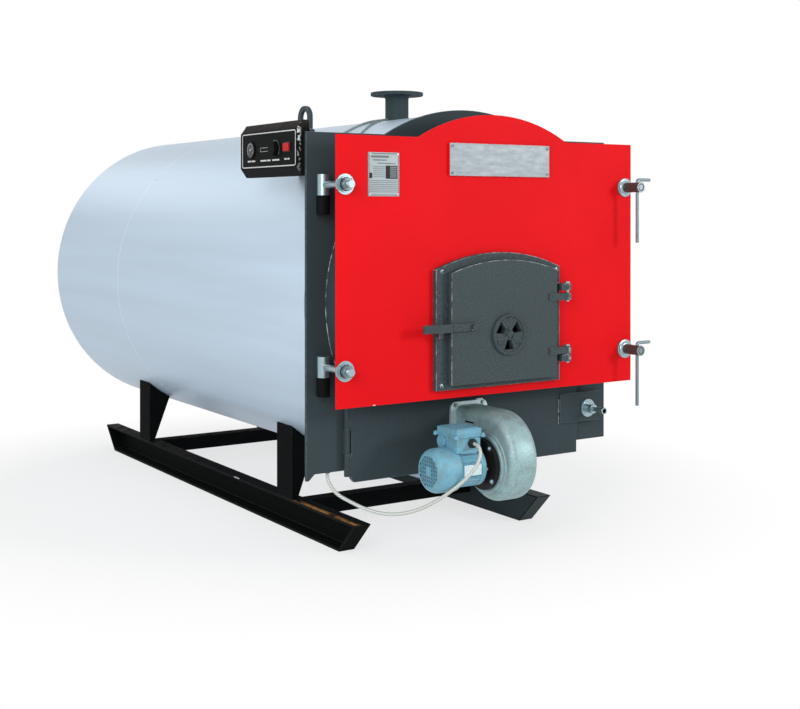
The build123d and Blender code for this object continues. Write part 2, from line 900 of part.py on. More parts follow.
# Plate as wide and high as the maker's, between two places in front of the door
def maker_block(front, back):
    return block(
        (maker_plate_x - maker_plate_width / 2, maker_plate_x + maker_plate_width / 2),
        (front, back),
        (maker_plate_middle - maker_plate_height / 2, maker_plate_middle + maker_plate_height / 2),
    )


def make_maker_box():
    return maker_block(maker_box_front, door_front)


def make_maker_plate():
    return maker_block(maker_box_front - maker_plate_thickness, maker_box_front)


def make_rating_plate():
    return block(
        (rating_plate_x - rating_plate_width / 2, rating_plate_x + rating_plate_width / 2),
        (door_front - rating_plate_thickness, door_front),
        (rating_plate_middle - rating_plate_height / 2, rating_plate_middle + rating_plate_height / 2),
    )


# Cast frame with two hinge lugs and the latch's ledge
def make_fuel_door_frame():
    outline = arched_edges(
        fuel_frame_x,
        fuel_frame_half_width,
        fuel_frame_bottom,
        fuel_frame_shoulder,
        fuel_frame_half_width,
        fuel_frame_crown,
        fuel_frame_front,
    )
    frame = slab_y(outline, fuel_frame_front, door_front)
    frame -= fuel_opening(fuel_frame_front, door_front)
    root_x = fuel_frame_x + fuel_frame_half_width - fuel_lug_root
    for low, high in (upper_lug, lower_lug):
        lug_y = (fuel_pin_y - fuel_eye_radius, fuel_frame_front + fuel_lug_root)
        frame += block((root_x, fuel_pin_x), lug_y, (low, high))
        frame += bar_z(fuel_eye_radius, low, high, fuel_pin_x, fuel_pin_y)
        frame -= bar_z(fuel_pin_radius + weld_gap, low - overrun, high + overrun, fuel_pin_x, fuel_pin_y)
    ledge_top = latch_height - latch_bar_height / 2 - seat_gap
    ledge_x = fuel_frame_x - fuel_frame_half_width
    frame += block(
        (ledge_x, ledge_x + ledge_width),
        (fuel_frame_front - ledge_depth, fuel_frame_front),
        (ledge_top - ledge_height, ledge_top),
    )
    return frame


def make_fuel_hinge_pins():
    upper_head = upper_lug[1]
    upper = bar_z(fuel_pin_radius, upper_strap[0] - fuel_pin_tail, upper_head, fuel_pin_x, fuel_pin_y)
    upper += bar_z(fuel_pin_head_radius, upper_head, upper_head + fuel_pin_head, fuel_pin_x, fuel_pin_y)
    lower_head = lower_strap[1] + seat_gap
    lower = bar_z(fuel_pin_radius, lower_lug[0] - fuel_pin_tail, lower_head, fuel_pin_x, fuel_pin_y)
    lower += bar_z(fuel_pin_head_radius, lower_head, lower_head + fuel_pin_head, fuel_pin_x, fuel_pin_y)
    return Compound(children=[upper, lower])


# One sector-shaped port between two radii, about the damper's axis
def damper_port(middle_deg, start, end):
    half = damper_port_angle / 2
    corners = []
    for radius, degrees in (
        (damper_port_inner, middle_deg - half),
        (damper_port_outer, middle_deg - half),
        (damper_port_outer, middle_deg + half),
        (damper_port_inner, middle_deg + half),
    ):
        angle = math.radians(degrees)
        corners.append((damper_x + radius * math.cos(angle), start, damper_height + radius * math.sin(angle)))
    corners.append(corners[0])
    return slab_y(chain(corners), start, end)


def damper_port_angles():
    return [damper_first_port_deg + i * 360 / damper_port_count for i in range(damper_port_count)]


# Cast leaf with hinge straps, damper ports, damper rivet and latch pivot
def make_fuel_door_leaf():
    outline = arched_edges(
        fuel_opening_x, leaf_half_width, leaf_bottom, leaf_shoulder, leaf_half_width, leaf_crown, leaf_front
    )
    leaf = slab_y(outline, leaf_front, leaf_back)
    strap_x = fuel_opening_x + leaf_half_width - fuel_strap_reach
    strap_y = (fuel_pin_y - fuel_eye_radius, fuel_pin_y + fuel_eye_radius - weld_gap)
    for low, high in (upper_strap, lower_strap):
        leaf += block((strap_x, fuel_pin_x), strap_y, (low, high))
        leaf += bar_z(fuel_eye_radius, low, high, fuel_pin_x, fuel_pin_y)
        leaf -= bar_z(fuel_pin_radius + seat_gap, low - overrun, high + overrun, fuel_pin_x, fuel_pin_y)
    for degrees in damper_port_angles():
        leaf -= damper_port(degrees, leaf_front - overrun, leaf_back + overrun)
    rivet_neck = leaf_front - 2 * damper_gap - damper_thickness
    leaf += bar_y(rivet_radius, rivet_neck, leaf_front, damper_x, damper_height)
    leaf += bar_y(rivet_head_radius, rivet_neck - rivet_head, rivet_neck, damper_x, damper_height)
    pivot_neck = leaf_front - latch_lift - latch_bar_thickness - damper_gap
    leaf += bar_y(rivet_radius, pivot_neck, leaf_front, latch_x, latch_height)
    return leaf + bar_y(rivet_head_radius, pivot_neck - rivet_head, pivot_neck, latch_x, latch_height)


# Rotating disc of the damper, with three ports and three grip ribs
def make_air_damper():
    back = leaf_front - damper_gap
    front = back - damper_thickness
    disc = bar_y(damper_radius, front, back, damper_x, damper_height)
    half_turn = 180 / damper_port_count
    for degrees in damper_port_angles():
        disc -= damper_port(degrees, front - overrun, back + overrun)
        rib = block(
            (damper_rib_start, damper_rib_start + damper_rib_length),
            (front - damper_rib_height, front),
            (-damper_rib_width / 2, damper_rib_width / 2),
        )
        turned = rib.rotate(Axis.Y, -(degrees + half_turn))
        disc += Location((damper_x, 0, damper_height)) * turned
    return disc - bar_y(rivet_radius + seat_gap, front - overrun, back + overrun, damper_x, damper_height)


# Lever that steps over the leaf's edge and lies on the frame's ledge
def make_latch_lever():
    near = leaf_front - latch_lift
    far = near - latch_bar_thickness
    height = (latch_height - latch_bar_height / 2, latch_height + latch_bar_height / 2)
    tail_back = fuel_frame_front - latch_tail_lift
    lever = block((latch_step_x, latch_x), (far, near), height)
    lever += bar_y(latch_eye_radius, far, near, latch_x, latch_height)
    step_x = (latch_step_x - latch_step_width, latch_step_x)
    lever += block(step_x, (far, tail_back), height)
    lever += block((latch_end_x, step_x[0]), (tail_back - latch_tail_thickness, tail_back), height)
    return lever - bar_y(rivet_radius + seat_gap, far - overrun, near + overrun, latch_x, latch_height)


# Clamp nut: sleeve through the door, washer on its face, cross hole for the tommy bar
def make_clamp_nut(height):
    face = door_front - seat_gap
    end = door_front - clamp_sleeve_reach
    nut = bar_y(clamp_sleeve_radius, end, door_back + clamp_sleeve_tail, clamp_x, height)
    nut += bar_y(clamp_washer_radius, face - clamp_washer_thickness, face, clamp_x, height)
    nut -= bar_y(clamp_mouth_radius, end - overrun, end + clamp_mouth_depth, clamp_x, height)
    bar_y_place = end + tommy_setback
    reach = clamp_sleeve_radius + overrun
    return nut - bar_z(tommy_radius + weld_gap, height - reach, height + reach, clamp_x, bar_y_place)


# Bent bar that hangs through the clamp nut
def make_tommy_bar(height):
    y = door_front - clamp_sleeve_reach + tommy_setback
    path = FilletPolyline(
        (clamp_x + tommy_hook, y, height + tommy_rise),
        (clamp_x, y, height + tommy_rise),
        (clamp_x, y, height - tommy_drop),
        radius=tommy_bend,
    )
    section = Plane(path @ 0, z_dir=path % 0) * Circle(tommy_radius)
    return sweep(section, path=path)


# Studs on the front plate behind the clamp nuts
def make_clamp_studs():
    end = door_back + clamp_sleeve_tail + clamp_stud_gap
    studs = [bar_y(clamp_stud_radius, end, 0, clamp_x, height) for height in fixing_heights]
    studs.append(bar_y(ash_stud_radius, -ash_stud_reach, 0, ash_clamp_x, ash_clamp_height))
    return Compound(children=studs)


# Ash-door panel with its strap and hinge knuckles
def make_ash_door_panel():
    left = -ash_half_width
    points = [
        (left, ash_front, ash_top),
        (left, ash_front, ash_bottom + ash_corner),
        (left + ash_corner, ash_front, ash_bottom),
        (ash_half_width, ash_front, ash_bottom),
        (ash_half_width, ash_front, ash_top),
        (left, ash_front, ash_top),
    ]
    panel = slab_y(chain(points), ash_front, ash_back)
    strap_z = (ash_strap_bottom, ash_strap_top)
    strap_x = (ash_half_width - ash_strap_overlap, ash_half_width + ash_strap_overhang)
    panel += block(strap_x, (ash_strap_front, ash_front), strap_z)
    hole_radius = ash_clamp_radius + eyebolt_hole_gap
    panel -= bar_y(hole_radius, ash_strap_front - overrun, ash_front + overrun, ash_clamp_x, ash_clamp_height)
    y = -ash_hinge_stand_off
    low = ash_bracket_bottom - seat_gap
    high = ash_bracket_bottom + ash_bracket_height + seat_gap
    for start, end in ((low - ash_knuckle_height, low), (high, high + ash_knuckle_height)):
        panel += bar_z(ash_knuckle_radius, start, end, ash_hinge_x, y)
        panel += block((ash_hinge_x, left), (ash_front, y), (start, end))
        panel -= bar_z(ash_pin_radius + seat_gap, start - overrun, end + overrun, ash_hinge_x, y)
    return panel


# Middle knuckle on the plate, with the ash door's hinge pin
def make_ash_hinge_bracket():
    y = -ash_hinge_stand_off
    low = ash_bracket_bottom
    high = ash_bracket_bottom + ash_bracket_height
    bracket = bar_z(ash_knuckle_radius, low, high, ash_hinge_x, y)
    web_x = (ash_hinge_x - ash_bracket_web / 2, ash_hinge_x + ash_bracket_web / 2)
    bracket += block(web_x, (y, 0), (low, high))
    return bracket + bar_z(
        ash_pin_radius, low - ash_knuckle_height, high + ash_knuckle_height, ash_hinge_x, y
    )


# Clamp nut of the ash door, with an empty cross hole
def make_ash_clamp_nut():
    washer_front = ash_strap_front - clamp_washer_thickness
    end = ash_strap_front - ash_clamp_reach
    nut = bar_y(ash_clamp_radius, end, ash_front + ash_clamp_tail, ash_clamp_x, ash_clamp_height)
    nut += bar_y(clamp_washer_radius, washer_front, ash_strap_front, ash_clamp_x, ash_clamp_height)
    collar_end = washer_front - ash_clamp_collar
    nut += bar_y(ash_clamp_collar_radius, collar_end, washer_front, ash_clamp_x, ash_clamp_height)
    reach = ash_clamp_radius + overrun
    hole_y = end + ash_cross_hole_setback
    return nut - bar_z(
        ash_cross_hole_radius, ash_clamp_height - reach, ash_clamp_height + reach, ash_clamp_x, hole_y
    )


# Discharge flange of the fan, with rounded corners
def make_fan_flange():
    flange = block(
        (volute_left - fan_flange_margin, volute_right + fan_flange_margin),
        (fan_flange_front, ash_front),
        (duct_bottom - fan_flange_rim, duct_top + fan_flange_rim),
    )
    return fillet(flange.edges().filter_by(Axis.Y), fan_flange_corner)


# Point of the volute's spiral, at an angle and radius about the fan's axis
def spiral_point(radius, degrees):
    angle = math.radians(degrees)
    return (volute_left, fan_axis_y + radius * math.cos(angle), fan_axis_height + radius * math.sin(angle))


# Volute: spiral housing whose duct runs back from its top to the flange
def make_fan_volute():
    turns = [
        (90, volute_top_radius),
        (180, volute_front_radius),
        (270, volute_bottom_radius),
        (360, volute_back_radius),
    ]
    tongue_y = fan_axis_y + volute_back_radius
    edges = chain([(volute_left, fan_flange_front, duct_top), spiral_point(volute_top_radius, 90)])
    for (start, start_radius), (end, end_radius) in zip(turns, turns[1:]):
        middle = spiral_point((start_radius + end_radius) / 2, (start + end) / 2)
        start_point = spiral_point(start_radius, start)
        edges.append(Edge.make_three_point_arc(start_point, middle, spiral_point(end_radius, end)))
    edges += chain(
        [
            (volute_left, tongue_y, fan_axis_height),
            (volute_left, tongue_y, duct_bottom),
            (volute_left, fan_flange_front, duct_bottom),
            (volute_left, fan_flange_front, duct_top),
        ]
    )
    volute = slab_x(edges, volute_left, volute_right)
    outer_edges = [
        edge
        for edge in volute.edges()
        if edge.center().Y < tongue_y - overrun
        and min(abs(edge.center().X - volute_left), abs(edge.center().X - volute_right)) < overrun
    ]
    return fillet(outer_edges, volute_round)


def make_motor_flange():
    return bar_x(motor_flange_radius, motor_start, volute_left, fan_axis_y, fan_axis_height)


def make_fan_motor():
    return bar_x(motor_radius, motor_end, motor_start, fan_axis_y, fan_axis_height)


# Fan cover with a rounded end
def make_motor_cover():
    cover = bar_x(cover_radius, cover_end, motor_end, fan_axis_y, fan_axis_height)
    rim = cover.edges().sort_by(Axis.X)[0]
    return fillet(rim, cover_round)


# Terminal box saddled on the motor, with its lid and a blank boss
def make_terminal_box():
    x_pair = (terminal_left, terminal_right)
    y_pair = (fan_axis_y - terminal_half_depth, fan_axis_y + terminal_half_depth)
    lid_start = terminal_top - terminal_lid
    box = block(x_pair, y_pair, (terminal_bottom, lid_start))
    box += block(
        (x_pair[0] - terminal_lid_edge, x_pair[1] + terminal_lid_edge),
        (y_pair[0] - terminal_lid_edge, y_pair[1] + terminal_lid_edge),
        (lid_start, terminal_top),
    )
    boss_end = terminal_left - terminal_boss_reach
    box += bar_x(terminal_boss_radius, boss_end, terminal_left, terminal_boss_y, terminal_boss_height)
    return box - bar_x(motor_radius, boss_end - overrun, motor_start, fan_axis_y, fan_axis_height)


# Gland on the terminal box, pointing forwards
def make_motor_gland():
    root = fan_axis_y - terminal_half_depth
    gland = hex_y(gland_nut_radius, root - gland_nut, root, gland_x, gland_height)
    return gland + bar_y(gland_radius, root - gland_reach, root, gland_x, gland_height)


# Route's places moved to the gland that they are counted from
def moved(points, place):
    return [tuple(p + q for p, q in zip(point, place)) for point in points]


def make_conduit():
    motor_gland = (gland_x, fan_axis_y - terminal_half_depth - gland_reach, gland_height)
    plate_gland = (plate_gland_x, plate_gland_y, plate_gland_bottom)
    route = moved(conduit_from_motor, motor_gland) + moved(conduit_to_plate, plate_gland)
    return routed_tube(route, conduit_radius, conduit_run_share)


def make_conduit_gland():
    top = plate_gland_bottom + plate_gland_length
    return bar_z(plate_gland_radius, plate_gland_bottom, top, plate_gland_x, plate_gland_y)


# Control box with chamfered edges, a foot against the front plate and a bracket to the barrel
def make_control_box():
    y = box_start
    points = [
        (box_back_x, y, box_bottom),
        (box_shoulder_x, y, box_bottom),
        (box_face_x, y, box_face_bottom),
        (box_face_x, y, box_face_top),
        (box_shoulder_x, y, box_top),
        (box_back_x, y, box_top),
        (box_back_x, y, box_bottom),
    ]
    box = slab_y(chain(points), box_start, box_end)
    foot_x = (-plate_half_width, box_back_x)
    foot_z = (box_bracket_bottom, plate_shoulder)
    box += block(foot_x, (plate_thickness, box_start), foot_z)
    bracket = block(
        (box_back_x, 0),
        (box_bracket_place, box_bracket_place + box_bracket_width),
        (box_bracket_bottom, box_bracket_bottom + box_bracket_height),
    )
    barrel = bar_y(cladding_radius + weld_gap, 0, barrel_end, 0, axis_height)
    return box + (bracket - barrel)


# Panel plate on the control box's face
def make_control_panel():
    panel = block(
        (panel_face_x, box_face_x),
        (box_start + panel_margin, box_end - panel_margin),
        (box_face_bottom + panel_margin, box_face_top - panel_margin),
    )
    shaft_hole = knob_shaft_radius + seat_gap
    hole_x = (panel_face_x - overrun, box_face_x + overrun)
    return panel - bar_x(shaft_hole, *hole_x, knob_place, box_top - knob_drop)


def make_thermometer():
    return bar_x(gauge_radius, panel_face_x - gauge_depth, panel_face_x, gauge_place, box_top - gauge_drop)


# Knob with its shaft through the panel
def make_thermostat_knob():
    back = panel_face_x - knob_gap
    height = box_top - knob_drop
    knob = bar_x(knob_radius, back - knob_depth, back, knob_place, height)
    return knob + bar_x(knob_shaft_radius, back, box_face_x - seat_gap, knob_place, height)


def make_rocker_switch():
    height = box_top - rocker_drop
    return block(
        (panel_face_x - rocker_depth, panel_face_x),
        (rocker_place - rocker_width / 2, rocker_place + rocker_width / 2),
        (height - rocker_length / 2, height + rocker_length / 2),
    )


# Thin tube lying on the cladding, from one angle and place to another
def make_capillary(start_deg, end_deg, start, end):
    step_deg = (end_deg - start_deg) / capillary_steps
    lying_radius = cladding_radius + capillary_radius + weld_gap
    corner_radius = lying_radius / math.cos(math.radians(step_deg / 2))
    points = []
    for i in range(capillary_steps + 1):
        angle = math.radians(start_deg + i * step_deg)
        place = start + i * (end - start) / capillary_steps
        points.append((corner_radius * math.cos(angle), place, axis_height + corner_radius * math.sin(angle)))
    return routed_tube(points, capillary_radius, capillary_run_share)


def make_capillary_tubes():
    first = make_capillary(
        first_capillary_start_deg,
        first_capillary_end_deg,
        plate_thickness + first_capillary_start,
        supply_place + first_capillary_end_offset,
    )
    second = make_capillary(
        second_capillary_start_deg,
        second_capillary_end_deg,
        plate_thickness + second_capillary_start,
        supply_place + second_capillary_end_offset,
    )
    return Compound(children=[first, second])


parts = {
    "front_plate": make_front_plate(),
    "smoke_box_ring": make_smoke_box_ring(),
    "tube_plate": make_tube_plate(),
    "rear_tube_plate": make_drilled_plate(rear_tube_plate_place),
    "fire_tubes": make_fire_tubes(),
    "furnace": make_furnace(),
    "grate": make_grate(),
    "barrel_cladding_front": make_cladding_front(),
    "barrel_cladding_rear": make_jacket(seam_place, rear_plate_front),
    "rear_end_plate": make_rear_end_plate(),
    "flue_collar": make_flue_collar(),
    "return_stub": make_return_stub(),
    "supply_pipe": make_supply_pipe(),
    "supply_flange": make_supply_flange(),
    "lifting_lug": make_lifting_lug(),
    "runner_left": make_runner(-1),
    "runner_right": make_runner(1),
    "cross_beams": Compound(children=[make_cross_beam(front_beam_place), make_cross_beam(rear_beam_place)]),
    "legs_front": Compound(children=[make_leg(-1, front_leg_place), make_leg(1, front_leg_place)]),
    "legs_rear": Compound(children=[make_leg(-1, rear_leg_place), make_leg(1, rear_leg_place)]),
    "hinge_pintles": Compound(children=[make_hinge_pintle(height) for height in fixing_heights]),
    "clamp_studs": make_clamp_studs(),
    "ash_hinge_bracket": make_ash_hinge_bracket(),
    "conduit_gland": make_conduit_gland(),
    "control_box": make_control_box(),
    "control_panel": make_control_panel(),
    "thermometer": make_thermometer(),
    "rocker_switch": make_rocker_switch(),
    "capillary_tubes": make_capillary_tubes(),
    "thermostat_knob": make_thermostat_knob(),
    "main_door_panel": make_main_door_panel(),
    "door_lining": make_door_lining(),
    "hinge_eyebolts": Compound(children=[make_hinge_eyebolt(height) for height in fixing_heights]),
    "maker_plate_box": make_maker_box(),
    "maker_plate": make_maker_plate(),
    "rating_plate": make_rating_plate(),
    "fuel_door_frame": make_fuel_door_frame(),
    "fuel_hinge_pins": make_fuel_hinge_pins(),
    "fuel_door_leaf": make_fuel_door_leaf(),
    "latch_lever": make_latch_lever(),
    "air_damper": make_air_damper(),
    "clamp_nut_upper": make_clamp_nut(upper_fixing_height),
    "clamp_bar_upper": make_tommy_bar(upper_fixing_height),
    "clamp_nut_lower": make_clamp_nut(lower_fixing_height),
    "clamp_bar_lower": make_tommy_bar(lower_fixing_height),
    "ash_door_panel": make_ash_door_panel(),
    "ash_clamp_nut": make_ash_clamp_nut(),
    "fan_flange": make_fan_flange(),
    "fan_volute": make_fan_volute(),
    "motor_flange": make_motor_flange(),
    "fan_motor": make_fan_motor(),
    "motor_cover": make_motor_cover(),
    "terminal_box": make_terminal_box(),
    "motor_gland": make_motor_gland(),
    "conduit": make_conduit(),
}

os.makedirs("parts", exist_ok=True)
for name, solid in parts.items():
    export_step(solid, f"parts/{name}.step")
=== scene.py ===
"""Looks of a solid-fuel boiler on skids: finishes, small fittings, light, floor and camera."""

import json
import math

import bmesh
import bpy
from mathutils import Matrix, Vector


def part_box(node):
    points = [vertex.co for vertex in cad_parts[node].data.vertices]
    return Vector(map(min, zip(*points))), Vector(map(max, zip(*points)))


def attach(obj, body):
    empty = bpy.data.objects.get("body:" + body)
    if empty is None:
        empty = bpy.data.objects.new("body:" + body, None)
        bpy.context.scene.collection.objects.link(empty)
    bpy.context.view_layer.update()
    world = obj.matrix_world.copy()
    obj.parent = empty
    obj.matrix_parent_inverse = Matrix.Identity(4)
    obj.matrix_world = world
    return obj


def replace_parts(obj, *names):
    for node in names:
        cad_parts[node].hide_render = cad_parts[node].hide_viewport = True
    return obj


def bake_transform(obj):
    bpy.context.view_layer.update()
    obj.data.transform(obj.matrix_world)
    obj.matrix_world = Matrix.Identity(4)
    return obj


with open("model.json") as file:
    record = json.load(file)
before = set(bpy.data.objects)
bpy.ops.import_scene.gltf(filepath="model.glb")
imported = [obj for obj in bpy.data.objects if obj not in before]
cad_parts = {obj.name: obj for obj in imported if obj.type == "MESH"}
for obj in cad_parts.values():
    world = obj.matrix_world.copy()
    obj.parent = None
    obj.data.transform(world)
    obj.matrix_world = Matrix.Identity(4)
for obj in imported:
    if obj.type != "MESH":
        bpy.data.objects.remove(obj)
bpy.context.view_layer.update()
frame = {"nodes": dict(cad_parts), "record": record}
nodes = frame["nodes"]
finish = {}

# Camera, in metres and degrees, with the lens in millimetres
CAMERA_PLACE = (-2.606, -3.566, 1.180)
CAMERA_TILT = 89.71
CAMERA_TURN = -33.11
CAMERA_LENS = 56.53
SENSOR_WIDTH = 36.0
CAMERA_SHIFT = -0.174

# Lamps: name, place and size in metres, and power in watts
LAMPS = (
    ("key_light", (2.7, -3.7, 1.9), 0.9, 66),
    ("left_light", (-3.7, -2.5, 2.4), 2.2, 96),
    ("back_light", (-0.9, 5.2, 3.0), 1.6, 7),
)
LIGHT_AIM = (0, 0.4, 0.8)
AMBIENT_FADE = (0, 1, 0.58, 1)
SEEN_RAYS = ("Is Camera Ray", "Is Glossy Ray", "Is Transmission Ray")
BACKDROP_WHITE = (1, 1, 1, 1)
FLOOR_SIZE = 60.0
FLOOR_COLOUR = (0.90, 0.90, 0.90, 1)
FLOOR_MIDDLE = (0, 1.2, 0)
FLOOR_FADE = (1.25, 2.0, 0.69, 1)

# Forms
FULL_TURN = 2 * math.pi
QUARTER_TURN = FULL_TURN / 4
AXIS_X = Vector((1, 0, 0))
AXIS_Y = Vector((0, 1, 0))
AXIS_Z = Vector((0, 0, 1))
TO_FRONT = -AXIS_Y
TO_LEFT = -AXIS_X
UPRIGHT_SHARE = 0.9
WELD_GAP = 0.00002
SHARP_ANGLE = math.radians(38)
EDGE_ANGLE = math.radians(32)
EDGE_STEPS = 2
THIN_EDGE = 0.0004
BLOCK_EDGE = 0.0012
TAB_EDGE = 0.0015
PRINT_DEPTH = 0.0004
CORNER_STEPS = 5
INNER_CORNER_SHARE = 0.25
TUBE_SIDES = 8

# Heads of fixings: steps round, then pairs of shares of their radius and their rise
RIVET_SHARES = (16, (1, 0), (0.8, 0.8), (0, 1))
SCREW_SHARES = (20, (1, 0), (1, 0.4), (0.75, 0.85), (0, 1))
WASHER_SHARES = (24, (0, 0), (1, 0), (1, 1), (0, 1))
HEXAGON_SHARES = (6, (0, 0), (1, 0), (1, 0.8), (0.86, 1), (0, 1))
SLOT_LENGTH_SHARE = 0.85
SLOT_WIDTH_SHARE = 0.22
SLOT_FOOT_SHARE = 0.65
SLOT_RISE_SHARE = 0.43

# Colours in linear light
SLATE = (0.040, 0.058, 0.066)
SKID_BLACK = (0.0030, 0.0040, 0.0042)
DOOR_RED = (0.735, 0.0062, 0.0105)
SHEET_BLUE = (0.505, 0.635, 0.765)
# Painted highlight along the seam of the cladding
SEAM_HIGHLIGHT = (0.74, 0.82, 0.88)
BOX_BLACK = (0.0050, 0.0056, 0.0060)
CHIP_WHITE = (0.60, 0.63, 0.64)
DUST_BROWN = (0.070, 0.055, 0.042)
LINING_TAN = (0.46, 0.39, 0.31)
LINING_JOINT = (0.20, 0.17, 0.14)

# Plain finishes: colour, roughness, waves a metre, light and dark share, bump depth, metal, shine, stretch
EVEN = (1, 1, 1)
USUAL_SHINE = 0.5
PLAIN_FINISHES = {
    "dark_paint": (SLATE, 0.66, 420, 0.24, 0.0004, 0, 0.13),
    # A lighter grey than the skid paint, used on the right runner
    "skid_paint_faded": ((0.046, 0.063, 0.068), 0.66, 300, 0.30, 0.0004, 0, 0.10),
    "red_paint": (DOOR_RED, 0.50, 300, 0.02, 0.0001, 0, 0.05),
    "cast_iron": ((0.048, 0.067, 0.073), 0.64, 260, 0.55, 0.0016, 0.05, 0.20),
    "zinc_steel": ((0.34, 0.45, 0.49), 0.30, 60, 0.05, 0.00002, 0.8),
    "capillary": ((0.36, 0.45, 0.44), 0.28, 200, 0.08, 0.00002, 0.6),
    "sleeve_steel": ((0.042, 0.058, 0.055), 0.36, 200, 0.15, 0.0001, 0.1),
    "nut_steel": ((0.20, 0.26, 0.28), 0.34, 90, 0.10, 0.00004, 0.7),
    "plate_dull": ((0.215, 0.245, 0.262), 0.45, 90, 0.14, 0.0001, 0.5, 0.3, (0.3, 1, 1)),
    "plate_aluminium": ((0.285, 0.335, 0.350), 0.45, 90, 0.08, 0.0001, 0.5, 0.3, (0.1, 1, 1)),
    "flange_casting": ((0.62, 0.76, 0.79), 0.45, 260, 0.20, 0.0006, 0.45),
    "cover_plastic": ((0.012, 0.012, 0.013), 0.42, 300, 0.15, 0.0002, 0, 0.22),
    "box_paint": (BOX_BLACK, 0.60, 380, 0.25, 0.0003, 0, 0.05),
    "gauge_face": ((0.010, 0.012, 0.014), 0.25, 120, 0.10, 0.00005, 0, 0.4),
    "dial_marks": ((0.42, 0.46, 0.47), 0.5, 200, 0.10, 0.00002),
    "label_print": ((0.62, 0.63, 0.63), 0.5, 900, 0.25, 0.00002),
    "black_print": ((0.012, 0.013, 0.014), 0.5, 500, 0.20, 0.00002, 0, 0.2),
    "grey_print": ((0.16, 0.17, 0.175), 0.5, 500, 0.35, 0.00002, 0, 0.2),
    "switch_red": ((0.50, 0.012, 0.014), 0.40, 150, 0.05, 0.00005, 0, 0.12),
    # Black painted shade, put in screw slots, the volute slot, holes and as a ring at the hinge nuts' feet
    "hole_black": ((0.003, 0.003, 0.003), 0.9, 200, 0.20, 0.0001, 0, 0.05),
}

# Rubbed finishes: colour, bare colour, roughness, metal share and level of shine
RUBBED_FINISHES = {
    # On the three paints the bare colour is a lighter copy of the paint: painted highlight on rounded edges,
    # broken into patches like wear. The iron's first colour is a lighter copy of cast iron, painted
    # highlight, and its bare colour is real rubbed iron
    "dark_paint_worn": (SLATE, (0.104, 0.1508, 0.1716), 0.5, 0, 0.3),
    "skid_paint_worn": (SKID_BLACK, (0.009, 0.012, 0.0126), 0.7, 0, 0.1),
    "red_paint_worn": (DOOR_RED, (0.84525, 0.00713, 0.012075), 0.4, 0, 0.4),
    "cast_iron_worn": ((0.0624, 0.0871, 0.0949), (0.30, 0.37, 0.39), 0.42, 0.4, 0.4),
    "weld_marks": (SLATE, (0.60, 0.66, 0.67), 0.5, 0, 0.3),
}

# Stained finishes: the stain's colour, then as plain finishes
STAINED_FINISHES = {
    "fan_casting": ((0.21, 0.27, 0.265), (0.305, 0.46, 0.475), 0.46, 300, 0.34, 0.0012, 0.35, 0.5),
    "motor_paint": ((0.175, 0.26, 0.28), (0.163, 0.412, 0.545), 0.42, 320, 0.12, 0.0004, 0, 0.4),
}

# Grain of the finishes below: roughness where set here, waves a metre, light and dark share, bump depth
RUBBED_GRAIN = (350, 0.3, 0.0004)
SKID_GRAIN = (0.80, 240, 0.35, 0.0004)
CHIPPED_GRAIN = (0.60, 380, 0.25, 0.0003)
LINING_GRAIN = (0.95, 120, 0.25, 0.002)
MATT_SHINE = 0.05
LINING_SHINE = 0.2
SHEET_METAL_SHARE = 0.30
BRAID_METAL_SHARE = 0.2

# Noise: waves a metre, detail and stretch along X, Y and Z
GRAIN_DETAIL = 4
CLOUD_NOISE = (4.0, 2)
RUBBED_NOISE = (45, 5)
STAIN_NOISE = (32, 6)
STREAK_NOISE = (11, 5, (1, 0.06, 1))
SHEET_NOISE = (600, 2)
DENT_NOISE = (3, 1)
RUST_PATCH_NOISE = (60, 5, (1, 0.25, 1))
RUST_NOISE = (60, 4)
DUST_NOISE = (20, 4)
CHIP_NOISE = (95, 4)
BRAID_NOISE = (900, 3)

# Fades: from one value of noise or place to another, and the shares at both ends where not nought and one
GRAIN_FADE = (0.3, 0.7)
CLOUD_FADE = (0.35, 0.65, 0, 0.35)
RUBBED_FADE = (0.42, 0.62)
STAIN_FADE = (0.46, 0.70, 0, 0.6)
SHEET_GLOSS_FADE = (0.3, 0.7, 0.34, 0.42)
RUNNER_TOP_FADE = (0.108, 0.111)
BELOW_LEGS_FADE = (0.114, 0.113)
RUST_OUTSIDE_FADE = (-0.398, -0.410)
RUST_START_FADE = (0.03, 0.08)
RUST_END_FADE = (0.56, 0.51)
RUST_PATCH_FADE = (0.36, 0.52)
DUST_FADE = (1.2, 2.3, 0, 0.7)
DUST_PATCH_FADE = (0.4, 0.6)
CHIP_FRONT_FADE = (0.020, 0.0145)
CHIP_OUTSIDE_FADE = (-0.652, -0.661)
CHIP_HEIGHT_FADE = (1.335, 1.395, 0.25, 1)
CHIP_PATCH_FADE = (0.50, 0.56)
BOX_DUST_FADE = (1.440, 1.462, 0, 0.5)
BRAID_SHADE_FADE = (0.3, 0.7, -0.18, 0.18)
BRAID_GLOSS_FADE = (0.3, 0.7, 0.35, 0.6)

# Ramps: share of the way and colour
RUST_RAMP = ((0.35, (0.25, 0.105, 0.030)), (0.65, (0.48, 0.23, 0.070)))
# The darker stop is painted shade in the gaps between the braid's strands
BRAID_SHADE_RAMP = ((0.1, (0.33, 0.38, 0.37)), (0.55, (0.60, 0.64, 0.59)))
# Lighter and darker streaks along the barrel: painted sheen, partly uneven tone of the sheet
STREAK_STOP_SHARES = (0.3, 0.5, 0.7)
STREAK_SHEEN_SHARES = (0.94, 1, 1.06)

# Tones and bumps of the finishes
CLOUD_SHADE_SHARE = 0.86
LOW_GLOSS_SHARE = 0.85
HIGH_GLOSS_SHARE = 1.15
BUMP_SHARE = 0.6
SHEET_BUMP_SHARE = 0.35
SHEET_GRAIN_SHARE = 0.15
SHEET_DEPTH = 0.0012
BRAID_DEPTH = 0.0003
